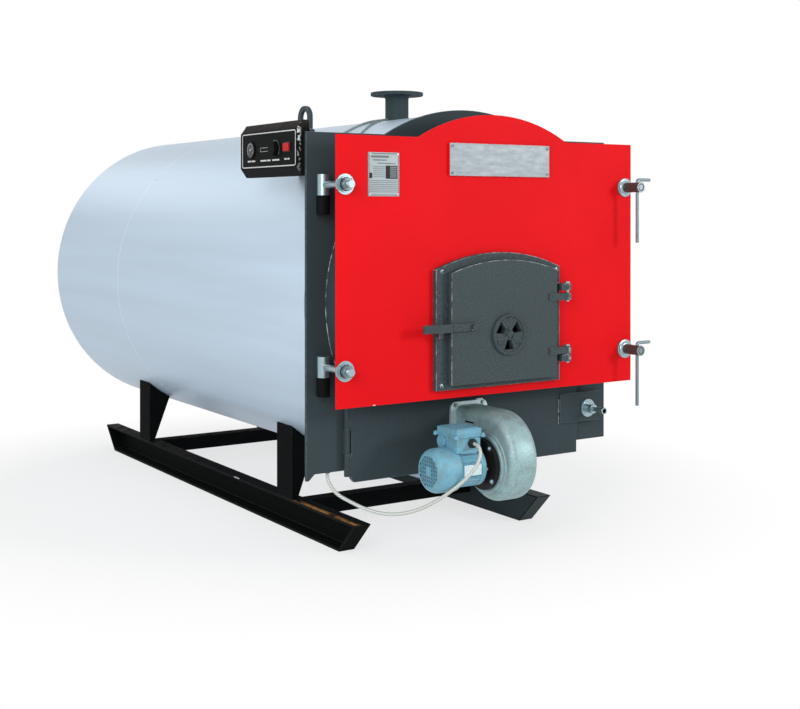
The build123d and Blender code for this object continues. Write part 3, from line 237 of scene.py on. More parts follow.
# Seam of the cladding, drawn as a band of painted highlight
SEAM_PLACE = 1.700
SEAM_HALF_WIDTH = 0.0022
SEAM_EDGE = 0.0012
BRICKS = {"Scale": 1, "Brick Width": 0.23, "Row Height": 0.115, "Mortar Size": 0.004}

# Finishes that differ from the node's slot, and widths of rounded edges in metres
NODE_FINISHES = {
    "fan_flange": "flange_casting",
    "motor_flange": "cover_plastic",
    "motor_cover": "motor_paint",
    "hinge_pintles": "box_paint",
    "capillary_tubes": "capillary",
    "control_box": "box_paint_chipped",
    "clamp_nut_upper": "sleeve_steel",
    "clamp_nut_lower": "sleeve_steel",
    "clamp_bar_upper": "nut_steel",
    "clamp_bar_lower": "nut_steel",
    "rear_end_plate": "cladding_sheet",
    "runner_right": "skid_paint_faded",
    "maker_plate": "plate_dull",
    "thermostat_knob": "box_paint",
}
EDGE_WIDTHS = {
    "front_plate": 0.0015,
    "maker_plate_box": 0.002,
    "maker_plate": 0.0005,
    "rating_plate": 0.0005,
    "fuel_door_frame": 0.004,
    "fuel_door_leaf": 0.003,
    "ash_door_panel": 0.0015,
    "fan_flange": 0.0025,
    "terminal_box": 0.003,
    "control_box": 0.002,
    "control_panel": 0.0005,
    "supply_flange": 0.001,
    "runner_left": 0.003,
    "runner_right": 0.003,
    "legs_front": 0.002,
    "legs_rear": 0.002,
    "lifting_lug": 0.002,
    "rocker_switch": 0.0015,
}

# Flexible conduit from the motor gland to the plate gland, in metres
CONDUIT_RADIUS = 0.006
CONDUIT_SIDES = 16
CONDUIT_STEPS = 20
CONDUIT_ORDER = 3
STRAND_DEPTH = 0.0004
STRAND_COUNT = 4
STRAND_TWIST = 520.0
CONDUIT_ROUTE = (
    (-0.171, -0.272, 0.415125),
    (-0.171, -0.290, 0.415125),
    (-0.172, -0.309, 0.402125),
    (-0.177, -0.317, 0.379125),
    (-0.193, -0.313, 0.345125),
    (-0.224, -0.291, 0.303125),
    (-0.262, -0.260, 0.263125),
    (-0.304, -0.225, 0.226125),
    (-0.347, -0.190, 0.201125),
    (-0.395, -0.155, 0.189),
    (-0.440, -0.119, 0.192),
    (-0.478, -0.084, 0.207),
    (-0.508, -0.048, 0.226),
    (-0.528, -0.022, 0.240),
    (-0.540, -0.005, 0.254),
    (-0.5475, 0.009, 0.272),
    (-0.553, 0.0203, 0.293),
    (-0.553, 0.0203, 0.313),
)

# Rating plate print: shares of the plate from its left and top edges
RATING_BLACK_SHARES = ((0.56, 0.94, 0.30, 0.60), (0.04, 0.13, 0.47, 0.59))
RATING_HEADER_SHARES = ((0.10, 0.66, 0.075, 0.125), (0.16, 0.60, 0.165, 0.190), (0.30, 0.88, 0.240, 0.262))
RATING_ROWS = 6
RATING_LINE_SHARES = (0.17, 0.53, 0.325, 0.339)
RATING_PALE_SHARES = (0.70, 0.91, 0.325, 0.339)
RATING_ROW_STEP_SHARE = 0.045
RATING_NOTE_ROWS = 7
RATING_NOTE_SHARES = (0.06, 0.94, 0.640, 0.655)
RATING_NOTE_STEP_SHARE = 0.042
RATING_RIM_SHARE = 0.020
PALE_PRINT_DEPTH = 0.0006

# Rivets and screws, as radius and rise, and how far they stand from a plate's edges
RATING_RIVET = (0.0032, 0.0014)
RATING_RIVET_INSET = 0.006
PLATE_SCREW = (0.0055, 0.0022)
PLATE_SCREW_INSET = 0.010
FRAME_SCREW = (0.0075, 0.0035)
FRAME_FRONT = -0.183
FRAME_SCREW_PLACES = (
    (-0.234, FRAME_FRONT, 0.974),
    (0.2535, FRAME_FRONT, 0.970),
    (-0.236, FRAME_FRONT, 0.598),
)

# Bolts and nuts, as radius and rise, then radius and rise of the washer
FLANGE_BOLT = (0.0065, 0.005, 0.0085, 0.0015)
DISC_BOLT = (0.0060, 0.0045, 0.0085, 0.0012)
TIE_NUT = (0.0050, 0.0060, 0.0062, 0.0010)
BACK_SCREW = (0.0060, 0.0030, 0.0090, 0.0010)

# Fuel door: hinge barrels and the rubbed edge of the leaf, a lighter line that is partly painted highlight
FUEL_PIN = (0.289, -0.200)
BARREL_RADIUS = 0.0138
BARREL_LIP = 0.0015
BARREL_STEPS = 28
LEAF_BARRELS = ((0.862, 0.887), (0.675, 0.700))
FRAME_BARRELS = ((0.896, 0.920), (0.648, 0.672))
LEAF_MIDDLE = 0.012
LEAF_HALF_WIDTH = 0.224
LEAF_FRONT = -0.2068
LEAF_FOOT = 0.600
LEAF_SHOULDER = 0.968
LEAF_CROWN = 1.007
LEAF_LINE_RADIUS = 0.0015
LEAF_LINE_STEPS = 24

# Latch lever of the fuel door: a bar and a dash as boxes, and a flat with a round end at the pivot
LATCH_FRONT = -0.2165
LATCH_BACK = -0.2131
LATCH_BAR = ((-0.332, -0.2230, 0.7755), (-0.219, LATCH_BACK, 0.8030))
LATCH_DASH = ((-0.138, -0.2195, 0.7785), (-0.118, LATCH_FRONT, 0.7815))
LATCH_PIVOT = (-0.128, LATCH_FRONT, 0.789125)
LATCH_FLAT_START = -0.222
LATCH_FLAT_HALF_HEIGHT = 0.0135
LATCH_STEPS = 10
LATCH_PIN = (0.0045, 0.004)

# Hinge nuts and clamp collars on the main door; turned forms are steps round, then radius and height
FIXING_HEIGHTS = (1.258, 0.669125)
HINGE_BOLT_X = -0.595
HINGE_NUT_FOOT = -0.1730
HINGE_NUT = (6, (0.0185, 0), (0.0214, 0.0014), (0.0214, 0.0166), (0.0185, 0.0186), (0.0120, 0.0186))
# A thin black ring of painted shadow round the foot of each hinge nut
HINGE_PAINTED_SHADOW = (28, (0.0222, 0), (0.0222, 0.0005), (0.0200, 0.0005))
THREAD_START = 0.0186
THREAD_PITCH = 0.0026
THREAD_TURNS = 6
THREAD_STEPS = 20
THREAD_CREST = 0.0124
THREAD_ROOT = 0.0112
SPRING_WASHER_PLACE = -0.1515
SPRING_WASHER = (
    28,
    (0.0125, 0), (0.0205, 0), (0.0210, 0.0010), (0.0210, 0.0042), (0.0205, 0.0052), (0.0125, 0.0052),
)
CLAMP_X = 0.592
DOOR_FRONT = -0.163
COLLAR = (
    40,
    (0.0338, 0), (0.0338, 0.0062), (0.0328, 0.0070), (0.0265, 0.0072), (0.0245, 0.0095), (0.0215, 0.0125),
    (0.0182, 0.0130),
)
SLEEVE_END = -0.252
SLEEVE_MOUTH = (
    28,
    (0.0182, -0.0050), (0.0186, -0.0035), (0.0186, -0.0005), (0.0178, 0.0004), (0.0140, 0.0004),
    (0.0128, -0.0006), (0, -0.0006),
)
ASH_NUT_END = (0.531, -0.125, 0.440125)
ASH_NUT_MOUTH = (
    24,
    (0.0090, -0.0060), (0.0122, -0.0050), (0.0126, -0.0040), (0.0126, -0.0005), (0.0118, 0.0004),
    (0.0085, 0.0006),
)
# Hole of the ash-door nut: a black disc of painted shade
ASH_NUT_HOLE = (24, (0.0085, 0.0006), (0.0080, 0.0003), (0, 0.0003))

# Air damper on the fuel-door leaf
DAMPER_CENTRE = (0.021, -0.2145, 0.756125)
DAMPER_RIM = (
    48,
    (0.0585, -0.001), (0.0590, 0.0020), (0.0615, 0.0048), (0.0665, 0.0050), (0.0695, 0.0024),
    (0.0700, -0.004),
)
DAMPER_RIVET = (20, (0.0095, -0.001), (0.0095, 0.0025), (0.0075, 0.0048), (0.0035, 0.0058), (0, 0.0060))
BLADES = (3, QUARTER_TURN)
BLADE_START = 0.012
BLADE_END = 0.0600
BLADE_HALF_WIDTH = 0.0175
BLADE_RISE = 0.0085
BLADE_SWELL_POWER = 0.7
BLADE_LENGTH_STEPS = 12
BLADE_WIDTH_STEPS = 8

# Fan: axis as Y and Z, the motor's parts along X; rings of fixings are a count and the first angle
FAN_AXIS = (-0.208, 0.328125)
VOLUTE_FACE = -0.070
VOLUTE_STEP = (
    64,
    (0.0845, 0.0020), (0.0850, 0.0095), (0.0870, 0.0105), (0.0950, 0.0105), (0.0970, 0.0085),
    (0.0980, 0.0040), (0.1055, 0.0034), (0.1080, 0),
)
# The volute's slot: a thin black slab of painted shade on its face
VOLUTE_SLOT = ((-0.0705, -0.135, 0.4505), (VOLUTE_FACE, -0.087, 0.4560))
FLANGE_FRONT = -0.033
FLANGE_BOLT_X = (-0.072, 0.044)
FLANGE_BOLT_Z = (0.390, 0.502)
FLANGE_TAB = ((0.018, FLANGE_FRONT, 0.510), (0.046, -0.024, 0.5175))
DISC_FACE = -0.094
DISC_BOLT_CIRCLE = 0.0755
DISC_BOLTS = (4, math.radians(128))

# Motor: ribs as shares of their pitch with a one in the grooves, and sections with a one where it is ribbed
MOTOR_RADIUS = 0.064
MOTOR_RIB_DEPTH = 0.0045
MOTOR_RIB_COUNT = 36
MOTOR_RIB_SHARES = ((0.10, 1), (0.40, 0), (0.50, 0), (0.90, 1))
MOTOR_SECTIONS = ((-0.250, 0), (-0.236, 0), (-0.235, 1), (-0.136, 1), (-0.135, 0), (-0.118, 0))
MOTOR_NECK = (40, (0.046, 0.118), (0.046, 0.094))
TIE_NUT_PLACE = -0.118
TIE_NUT_CIRCLE = 0.0600
TIE_NUTS = (4, math.radians(183))
NAMEPLATE_BACK = -0.2742
NAMEPLATE_FRONT = -0.2750
NAMEPLATE_PAD = ((-0.212, NAMEPLATE_BACK, 0.3105), (-0.139, -0.2600, 0.3485))
NAMEPLATE = ((-0.2104, NAMEPLATE_FRONT, 0.3121), (-0.1406, NAMEPLATE_BACK, 0.3469))
NAMEPLATE_RIVET_PLACES = ((-0.206, NAMEPLATE_FRONT, 0.3295), (-0.145, NAMEPLATE_FRONT, 0.3295))
NAMEPLATE_RIVET = (12, (0.0022, 0), (0, 0.0008))
COVER_START = -0.250
COVER = (
    56,
    (0.0640, -0.0330), (0.0722, -0.0330), (0.0730, -0.0320), (0.0730, 0.0260), (0.0722, 0.0340),
    (0.0695, 0.0430), (0.0650, 0.0505), (0.0595, 0.0555), (0.0550, 0.0572), (0.0520, 0.0575),
    (0.0512, 0.0568),
)
# Behind the grille: a black disc of painted shade inside the cover
COVER_HOLE = (56, (0.0512, 0.0568), (0.0510, 0.0500), (0, 0.0500))
GRILLE_RADIUS = 0.0515
GRILLE_PITCH = 0.0126
GRILLE_LINES = 4
GRILLE_HALF_BAR = 0.0023
GRILLE_FRONT = -0.3072
GRILLE_BACK = -0.3035
GRILLE_HUB_FRONT = -0.3076
GRILLE_HUB_HALF_WIDTH = 0.0110
GRILLE_HUB_HALF_HEIGHT = 0.0160

# Terminal box: rim, top, clip and foot as boxes, and its turned parts
LID_RIM = ((-0.2365, -0.2665, 0.4360), (-0.1295, -0.1495, 0.4420))
LID_TOP = ((-0.2260, -0.2560, 0.4615), (-0.1400, -0.1600, 0.4650))
BOX_CLIP = ((-0.2350, -0.2180, 0.4230), (-0.2290, -0.2040, 0.4640))
BOX_FOOT = ((-0.2150, -0.2630, 0.3830), (-0.1510, -0.2560, 0.3960))
LID_LUG_FOOT = 0.4335
LID_LUG_TOP = 0.4445
LID_LUG = (18, (0, 0), (0.0080, 0), (0.0080, 0.0110), (0, 0.0110))
LID_SCREW = (14, (0.0045, 0), (0.0045, 0.0016), (0.0036, 0.0026), (0, 0.0028))
BOX_BOSS_CENTRE = (-0.230, -0.182, 0.416125)
BOX_BOSS = (
    32,
    (0.0225, 0), (0.0225, 0.0088), (0.0212, 0.0100), (0.0165, 0.0100), (0.0158, 0.0086), (0, 0.0086),
)
GLAND_PLACE = (-0.171, -0.2600, 0.415125)
GLAND_NUT = (6, (0, 0), (0.0158, 0), (0.0166, 0.001), (0.0166, 0.0065), (0.0152, 0.0078), (0, 0.0078))
GLAND_CAP = (
    24,
    (0.0125, 0.0078), (0.0140, 0.0086), (0.0140, 0.0128), (0.0118, 0.0150), (0.0082, 0.0155),
    (0.0066, 0.0155),
)

# Panel of the control box, as Y and Z: frames with line, corner and depth, bars with left, right and height
PANEL_FACE = -0.670
PANEL_OUTLINE = ((0.0200, 1.3205), (0.4100, 1.4380), 0.0034, 0.010, PRINT_DEPTH)
RESET_OUTLINE = ((0.2150, 1.3735), (0.2720, 1.3870), 0.0013, 0.004, PRINT_DEPTH)
SWITCH_SURROUND = ((0.0565, 1.3665), (0.1035, 1.3995), 0.0032, 0.003, 0.0016)
PANEL_BARS = (
    (0.3670, 0.3420, 1.3435),
    (0.3380, 0.3110, 1.3435),
    (0.2700, 0.2270, 1.3430),
    (0.2220, 0.1970, 1.3430),
    (0.1830, 0.1340, 1.3430),
    (0.0970, 0.0820, 1.3440),
    (0.0760, 0.0620, 1.3440),
)
PANEL_BAR_HALF_HEIGHT = 0.0026

# Dials: scales are a count, first angle and span, marks are start and end radius, half width and depth
GAUGE_CENTRE = (-0.674, 0.341, 1.382)
GAUGE_SCALE = (22, math.radians(-45), math.radians(270))
GAUGE_TICK = (0.0190, 0.0240, 0.0007, PRINT_DEPTH)
GAUGE_NEEDLE_ANGLE = math.radians(150)
GAUGE_NEEDLE = (-0.006, 0.0165, 0.0010, 0.0008)
GAUGE_HUB = (16, (0.0036, 0), (0.0032, 0.0014), (0, 0.0018))
GAUGE_BEZEL = (
    40,
    (0.0296, -0.0038), (0.0306, -0.0030), (0.0306, -0.0004), (0.0294, 0.0012), (0.0274, 0.0013),
    (0.0264, 0.0002),
)
KNOB_CENTRE = (0.162, 1.380)
KNOB_FACE = -0.6868
KNOB_RIM = (40, (0.0218, -0.0010), (0.0224, 0.0001), (0.0229, -0.0004), (0.0230, -0.0014))
KNOB_POINTER_ANGLE = math.radians(115)
KNOB_POINTER = (0.004, 0.0185, 0.0011, 0.0001)
KNOB_SCALE = (25, math.radians(-50), math.radians(280))
KNOB_TICK = (0.0275, 0.0302, 0.0006, PRINT_DEPTH)
KNOB_GRIP_COUNT = 24
KNOB_GRIP_CIRCLE = 0.0214
KNOB_GRIP_RADIUS = 0.00208
KNOB_GRIP_X = (-0.6855, -0.6735)

# Barrel, back end and pipes
BARREL_AXIS_HEIGHT = 0.870
CLADDING_RADIUS = 0.645
SEAM_SCREWS = (12, math.radians(17))
SEAM_SCREW_OFFSET = 0.009
SEAM_SCREW = (12, (0.0050, -0.001), (0.0050, 0.0011), (0, 0.0022))
BACK_FACE = 2.521
BACK_CENTRE = (0, BACK_FACE, BARREL_AXIS_HEIGHT)
BACK_RIM = (
    128,
    (0.6430, -0.004), (0.6440, 0.001), (0.6420, 0.003), (0.6180, 0.003), (0.6160, 0.0005),
    (0.6155, -0.001),
)
BACK_SCREW_COUNT = 20
BACK_SCREW_CIRCLE = 0.630
BACK_SCREW_BASE = 0.003
COLLAR_CENTRE = (0, BACK_FACE, 1.190)
COLLAR_BEAD = (72, (0.1500, 0.108), (0.1525, 0.111), (0.1535, 0.115), (0.1525, 0.119), (0.1500, 0.122))
COLLAR_FOOT = (72, (0.1500, 0.010), (0.1530, 0.0060), (0.1580, 0.0020), (0.1600, 0))
STUB_CENTRE = (0, BACK_FACE, 0.480)
STUB_FOOT = (48, (0.0444, 0.008), (0.0470, 0.0045), (0.0510, 0.0015), (0.0525, 0))
PIPE_PLACE = (0, 0.452, 1.610)
PIPE_NECK = (48, (0.0444, -0.012), (0.0470, -0.0060), (0.0510, -0.0020), (0.0530, 0))

# Weld beads and chips of paint
BEAD_STEP = 0.0045
BEAD_SIDES = 8
BEAD_DIP_SHARE = 0.72
LEG_BEAD_RADIUS = 0.0042
RUNNER_TOP = 0.112
RUNNER_X = (0.363, 0.426)
LEG_ENDS_Y = (0.502, 0.621, 1.878, 1.997)
RING_BEAD_RADIUS = 0.5705
RING_BEAD_ANGLES = (math.radians(152), math.radians(208))
RING_BEAD_STEPS = 90
RING_BEAD_PLACE = -0.0006
PLATE_BEAD_RADIUS = 0.0016
PLATE_TICK = ((0.5136, -0.0002, 0.505), (0.5136, -0.0002, 0.482))
DOOR_BEAD_RADIUS = 0.0027
DOOR_BRIGHT_BEAD = ((0.3995, -0.0235, 0.484), (0.3995, -0.0235, 0.391))
DOOR_DARK_BEAD = ((0.4020, -0.0235, 0.3905), (0.4880, -0.0235, 0.3905))
CHIP_RADIUS = 0.0022
RUNNER_CHIP = ((-0.4245, 0.945, 0.1115), (-0.4245, 0.990, 0.1115))
DOOR_CHIP = ((-0.490, -0.1628, 0.5524), (-0.481, -0.1628, 0.5524))


class Nodes:
    """The node tree of a finish or of the world, to which nodes are added one by one."""

    def __init__(self, tree):
        self.tree = tree

    def feed(self, socket, value):
        if isinstance(value, bpy.types.NodeSocket):
            self.tree.links.new(value, socket)
        else:
            socket.default_value = value

    def add(self, kind, inputs, **settings):
        """Adds a node with these settings and values or links for its inputs."""
        made = self.tree.nodes.new(kind)
        for key, value in settings.items():
            setattr(made, key, value)
        for key, value in inputs.items():
            self.feed(made.inputs[key], value)
        return made

    def fade(self, value, low, high, start=0, end=1):
        """A share that goes from start to end as the value goes from low to high."""
        limits = {"From Min": low, "From Max": high, "To Min": start, "To Max": end}
        return self.add("ShaderNodeMapRange", {"Value": value, **limits}).outputs["Result"]

    def sum(self, operation, first, *others):
        for other in others:
            first = self.add("ShaderNodeMath", {0: first, 1: other}, operation=operation).outputs["Value"]
        return first

    def seen_share(self):
        """One for what the camera sees, by itself or through gloss and glass, and nought for other light."""
        path = self.add("ShaderNodeLightPath", {})
        return self.sum("MAXIMUM", *[path.outputs[label] for label in SEEN_RAYS])


class Shader(Nodes):
    """A finish whose texture is built up step by step."""

    def __init__(self, name, metallic=0, shine=USUAL_SHINE):
        self.material = bpy.data.materials.new(name + "_finish")
        self.material.use_nodes = True
        super().__init__(self.material.node_tree)
        finish[name] = self.material
        self.surface = self.tree.nodes["Principled BSDF"]
        self.surface.inputs["Metallic"].default_value = metallic
        self.surface.inputs["Specular IOR Level"].default_value = shine
        self.place = self.add("ShaderNodeTexCoord", {}).outputs["Object"]

    def noise(self, scale, detail, stretch=EVEN):
        mapping = self.add("ShaderNodeMapping", {"Vector": self.place, "Scale": stretch})
        settings = {"Vector": mapping.outputs["Vector"], "Scale": scale, "Detail": detail}
        return self.add("ShaderNodeTexNoise", settings).outputs["Fac"]

    def ramp(self, value, *stops):
        made = self.add("ShaderNodeValToRGB", {"Fac": value})
        points = made.color_ramp.elements
        while len(points) < len(stops):
            points.new(1)
        for point, (position, colour) in zip(points, stops):
            point.position = position
            point.color = (*colour, 1)
        return made.outputs["Color"]

    def mix(self, share, first, second):
        made = self.add("ShaderNodeMix", {"Factor": share}, data_type="RGBA")
        colours = [socket for socket in made.inputs if socket.type == "RGBA"]
        for socket, value in zip(colours, (first, second)):
            whole = isinstance(value, bpy.types.NodeSocket)
            self.feed(socket, value if whole else (*value, 1))
        return [socket for socket in made.outputs if socket.type == "RGBA"][0]

    def along(self, axis):
        return self.add("ShaderNodeSeparateXYZ", {"Vector": self.place}).outputs[axis]

    def band(self, value, centre, half_width, edge):
        """A share of one near a centre that fades out over an edge."""
        offset = self.sum("ABSOLUTE", self.sum("SUBTRACT", value, centre), 0)
        return self.fade(offset, half_width + edge, half_width)

    def colour(self, value):
        self.feed(self.surface.inputs["Base Color"], value)

    def gloss(self, value):
        self.feed(self.surface.inputs["Roughness"], value)

    def bump(self, height, depth, strength=BUMP_SHARE):
        made = self.add("ShaderNodeBump", {"Strength": strength, "Distance": depth, "Height": height})
        self.feed(self.surface.inputs["Normal"], made.outputs["Normal"])


def side_axes(axis):
    """Two directions that are square to an axis and to each other."""
    guide = AXIS_X if abs(axis.z) > UPRIGHT_SHARE else AXIS_Z
    first = axis.cross(guide).normalized()
    return first, axis.cross(first).normalized()


def spread(count, start=0, span=FULL_TURN):
    """Evenly spaced angles, the first at start."""
    return [start + span * k / count for k in range(count)]


def ring(centre, first, second, radius, count):
    """Points of a circle in the plane of two directions."""
    return [centre + radius * (first * math.cos(a) + second * math.sin(a)) for a in spread(count)]


def along_line(line):
    """Each point of a line with two directions square to the line there, without a twist."""
    side = side_axes((line[1] - line[0]).normalized())[0]
    for k, point in enumerate(line):
        ahead = (line[min(k + 1, len(line) - 1)] - line[max(k - 1, 0)]).normalized()
        side = (side - ahead * side.dot(ahead)).normalized()
        yield point, side, ahead.cross(side)


def scaled(shares, radius, rise):
    """A turned form from shares of a radius and a rise."""
    steps, *pairs = shares
    return (steps, *((across * radius, up * rise) for across, up in pairs))


def plate_corners(node, inset):
    """Places near the four corners of the front of a plate."""
    low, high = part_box(node)
    heights = (low.z + inset, high.z - inset)
    return [(x, low.y, z) for x in (low.x + inset, high.x - inset) for z in heights]


def rounded_outline(low, high, radius):
    """Pairs of values round a rectangle with rounded corners."""
    left, bottom = (value + radius for value in low)
    right, top = (value - radius for value in high)
    pairs = []
    middles = ((right, top), (left, top), (left, bottom), (right, bottom))
    for quarter, (across, up) in enumerate(middles):
        for k in range(CORNER_STEPS + 1):
            angle = QUARTER_TURN * (quarter + k / CORNER_STEPS)
            pairs.append((across + radius * math.cos(angle), up + radius * math.sin(angle)))
    return pairs


def add_object(name, data):
    made = bpy.data.objects.new(name, data)
    bpy.context.scene.collection.objects.link(made)
    return made


class Piece:
    """A mesh that is gathered from simple forms and rides on one body."""

    def __init__(self, name, body, slot, first_finish=None):
        self.name = name
        self.body = body
        self.slot = slot
        self.finishes = []
        self.form = bmesh.new()
        self.use(first_finish or slot)

    def use(self, name):
        """The forms that follow take this finish."""
        if name not in self.finishes:
            self.finishes.append(name)
        self.paint = self.finishes.index(name)

    def face(self, corners):
        self.form.faces.new(corners).material_index = self.paint

    def skin(self, rows, closed=True, capped=False):
        """Joins rows of points into a surface, round each row where it is closed."""
        rows = [[self.form.verts.new(point) for point in row] for row in rows]
        for lower, upper in zip(rows, rows[1:]):
            count = len(lower)
            for k in range(count if closed else count - 1):
                following = (k + 1) % count
                self.face((lower[k], lower[following], upper[following], upper[k]))
        if capped:
            self.face(rows[0][::-1])
            self.face(rows[-1])

    def lathe(self, centre, axis, steps, *profile):
        """Turns a profile of radius and height pairs about an axis through a centre."""
        sides = side_axes(axis)
        rows = []
        for radius, height in profile:
            rows.append(ring(Vector(centre) + axis * height, *sides, radius, steps))
        self.skin(rows)

    def prism(self, outline, depth):
        self.skin([outline, [Vector(point) + depth for point in outline]], capped=True)

    def block(self, low, high):
        (x0, y0, z0), (x1, y1, z1) = low, high
        self.prism([(x0, y0, z0), (x1, y0, z0), (x1, y1, z0), (x0, y1, z0)], AXIS_Z * (z1 - z0))

    def tube(self, points, radius):
        """A round bar along a line of points."""
        line = [Vector(point) for point in points]
        self.skin([ring(*place, radius, TUBE_SIDES) for place in along_line(line)], capped=True)

    def shape(self):
        """The gathered forms as one object with smooth faces."""
        bmesh.ops.recalc_face_normals(self.form, faces=self.form.faces)
        mesh = bpy.data.meshes.new(self.name)
        self.form.to_mesh(mesh)
        self.form.free()
        for name in self.finishes:
            mesh.materials.append(finish[name])
        mesh.shade_smooth()
        return add_object(self.name, mesh)

    def done(self, edge=0):
        """Joins the forms where they meet, and sets the piece on its body."""
        bmesh.ops.remove_doubles(self.form, verts=self.form.verts, dist=WELD_GAP)
        piece = self.shape()
        piece.data.set_sharp_from_angle(angle=SHARP_ANGLE)
        if edge:
            round_edges(piece, edge)
        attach(piece, self.body)
        return piece


def round_edges(piece, width, rubbed_lit_finish=None):
    """Rounds the sharp edges of a piece; a rubbed finish, partly painted highlight, shows on them where one
    is given.
    """
    weld = piece.modifiers.new("weld", "WELD")
    weld.merge_threshold = WELD_GAP
    bevel = piece.modifiers.new("edges", "BEVEL")
    bevel.width = width
    bevel.segments = EDGE_STEPS
    bevel.limit_method = "ANGLE"
    bevel.angle_limit = EDGE_ANGLE
    bevel.harden_normals = True
    if rubbed_lit_finish:
        piece.data.materials.append(rubbed_lit_finish)
        bevel.material = len(piece.data.materials) - 1


def shade_of(colour, share):
    return tuple(min(part * share, 1) for part in colour)


def grained(shader, colour, rough, grain, spread_share, depth, stretch=EVEN):
    """Gives a shader a grain of light and dark with uneven gloss and a bump, and returns its colour."""
    fine = shader.noise(grain, GRAIN_DETAIL, stretch)
    tones = (shade_of(colour, 1 - spread_share), shade_of(colour, 1 + spread_share))
    speckled = shader.ramp(fine, *zip(GRAIN_FADE, tones))
    cloud = shader.fade(shader.noise(*CLOUD_NOISE), *CLOUD_FADE)
    shader.gloss(shader.fade(fine, *GRAIN_FADE, rough * LOW_GLOSS_SHARE, rough * HIGH_GLOSS_SHARE))
    shader.bump(fine, depth)
    return shader.mix(cloud, speckled, shade_of(colour, CLOUD_SHADE_SHARE))


def plain_finish(name, colour, rough, grain, spread_share, depth, metallic=0, shine=USUAL_SHINE, *stretch):
    shader = Shader(name, metallic, shine)
    shader.colour(grained(shader, colour, rough, grain, spread_share, depth, *stretch))


def rubbed_finish(name, colour, bare, rough, metallic, shine):
    """Paint or casting that is rubbed bright in patches; on rounded edges the lighter colours are partly
    painted highlight.
    """
    shader = Shader(name, metallic, shine)
    under = grained(shader, colour, rough, *RUBBED_GRAIN)
    patches = shader.fade(shader.noise(*RUBBED_NOISE), *RUBBED_FADE)
    shader.colour(shader.mix(patches, under, bare))


def stained_finish(name, stain, colour, rough, grain, spread_share, depth, metallic, shine):
    """A casting or paint with soft stains of dirt."""
    shader = Shader(name, metallic, shine)
    clean = grained(shader, colour, rough, grain, spread_share, depth)
    stains = shader.fade(shader.noise(*STAIN_NOISE), *STAIN_FADE)
    shader.colour(shader.mix(stains, clean, stain))


def sheet_finish():
    """Pale metal sheet with soft streaks of painted sheen along the barrel, partly uneven tone of the sheet,
    and a painted highlight along the seam round it.
    """
    shader = Shader("cladding_sheet", SHEET_METAL_SHARE)
    # Streaks along the barrel: painted sheen, partly uneven tone of the sheet.
    sheen_streaks = shader.noise(*STREAK_NOISE)
    tones = [shade_of(SHEET_BLUE, share) for share in STREAK_SHEEN_SHARES]
    base = shader.ramp(sheen_streaks, *zip(STREAK_STOP_SHARES, tones))
    # A lighter band along the seam: a painted highlight, which the bump also raises a little.
    seam = shader.band(shader.along("Y"), SEAM_PLACE, SEAM_HALF_WIDTH, SEAM_EDGE)
    shader.colour(shader.mix(seam, base, SEAM_HIGHLIGHT))
    shader.gloss(shader.fade(sheen_streaks, *SHEET_GLOSS_FADE))
    fine = shader.sum("MULTIPLY", shader.noise(*SHEET_NOISE), SHEET_GRAIN_SHARE)
    height = shader.sum("ADD", fine, seam, shader.noise(*DENT_NOISE))
    shader.bump(height, SHEET_DEPTH, SHEET_BUMP_SHARE)


def skid_finish():
    """Near-black paint, rusted along the outer top edge of the left runner and dusty at the back."""
    shader = Shader("skid_paint", 0, MATT_SHINE)
    base = grained(shader, SKID_BLACK, *SKID_GRAIN)
    across, along, up = [shader.along(axis) for axis in "XYZ"]
    top = shader.fade(up, *RUNNER_TOP_FADE)
    below_legs = shader.fade(up, *BELOW_LEGS_FADE)
    outside = shader.fade(across, *RUST_OUTSIDE_FADE)
    started = shader.fade(along, *RUST_START_FADE)
    ended = shader.fade(along, *RUST_END_FADE)
    patches = shader.fade(shader.noise(*RUST_PATCH_NOISE), *RUST_PATCH_FADE)
    rusted = shader.sum("MULTIPLY", top, below_legs, outside, started, ended, patches)
    rust = shader.ramp(shader.noise(*RUST_NOISE), *RUST_RAMP)
    dusty = shader.fade(along, *DUST_FADE)
    dust_patches = shader.fade(shader.noise(*DUST_NOISE), *DUST_PATCH_FADE)
    settled = shader.sum("MULTIPLY", dusty, top, below_legs, dust_patches)
    shader.colour(shader.mix(rusted, shader.mix(settled, base, DUST_BROWN), rust))


def chipped_finish():
    """Black box paint with dust on its upper bevel, chipped white down the front corner."""
    shader = Shader("box_paint_chipped", 0, MATT_SHINE)
    base = grained(shader, BOX_BLACK, *CHIPPED_GRAIN)
    across, along, up = [shader.along(axis) for axis in "XYZ"]
    at_front = shader.fade(along, *CHIP_FRONT_FADE)
    outside = shader.fade(across, *CHIP_OUTSIDE_FADE)
    upper = shader.fade(up, *CHIP_HEIGHT_FADE)
    patches = shader.fade(shader.noise(*CHIP_NOISE), *CHIP_PATCH_FADE)
    chips = shader.sum("MULTIPLY", at_front, outside, upper, patches)
    dust = shader.sum("MULTIPLY", shader.fade(up, *BOX_DUST_FADE), shader.noise(*DUST_NOISE))
    shader.colour(shader.mix(chips, shader.mix(dust, base, DUST_BROWN), CHIP_WHITE))


def lining_finish():
    """Fired blocks with dark joints."""
    shader = Shader("refractory", 0, LINING_SHINE)
    base = grained(shader, LINING_TAN, *LINING_GRAIN)
    flat = shader.add("ShaderNodeCombineXYZ", {"X": shader.along("X"), "Y": shader.along("Z")})
    bricks = shader.add("ShaderNodeTexBrick", {"Vector": flat.outputs["Vector"], **BRICKS})
    shader.colour(shader.mix(bricks.outputs["Fac"], base, LINING_JOINT))


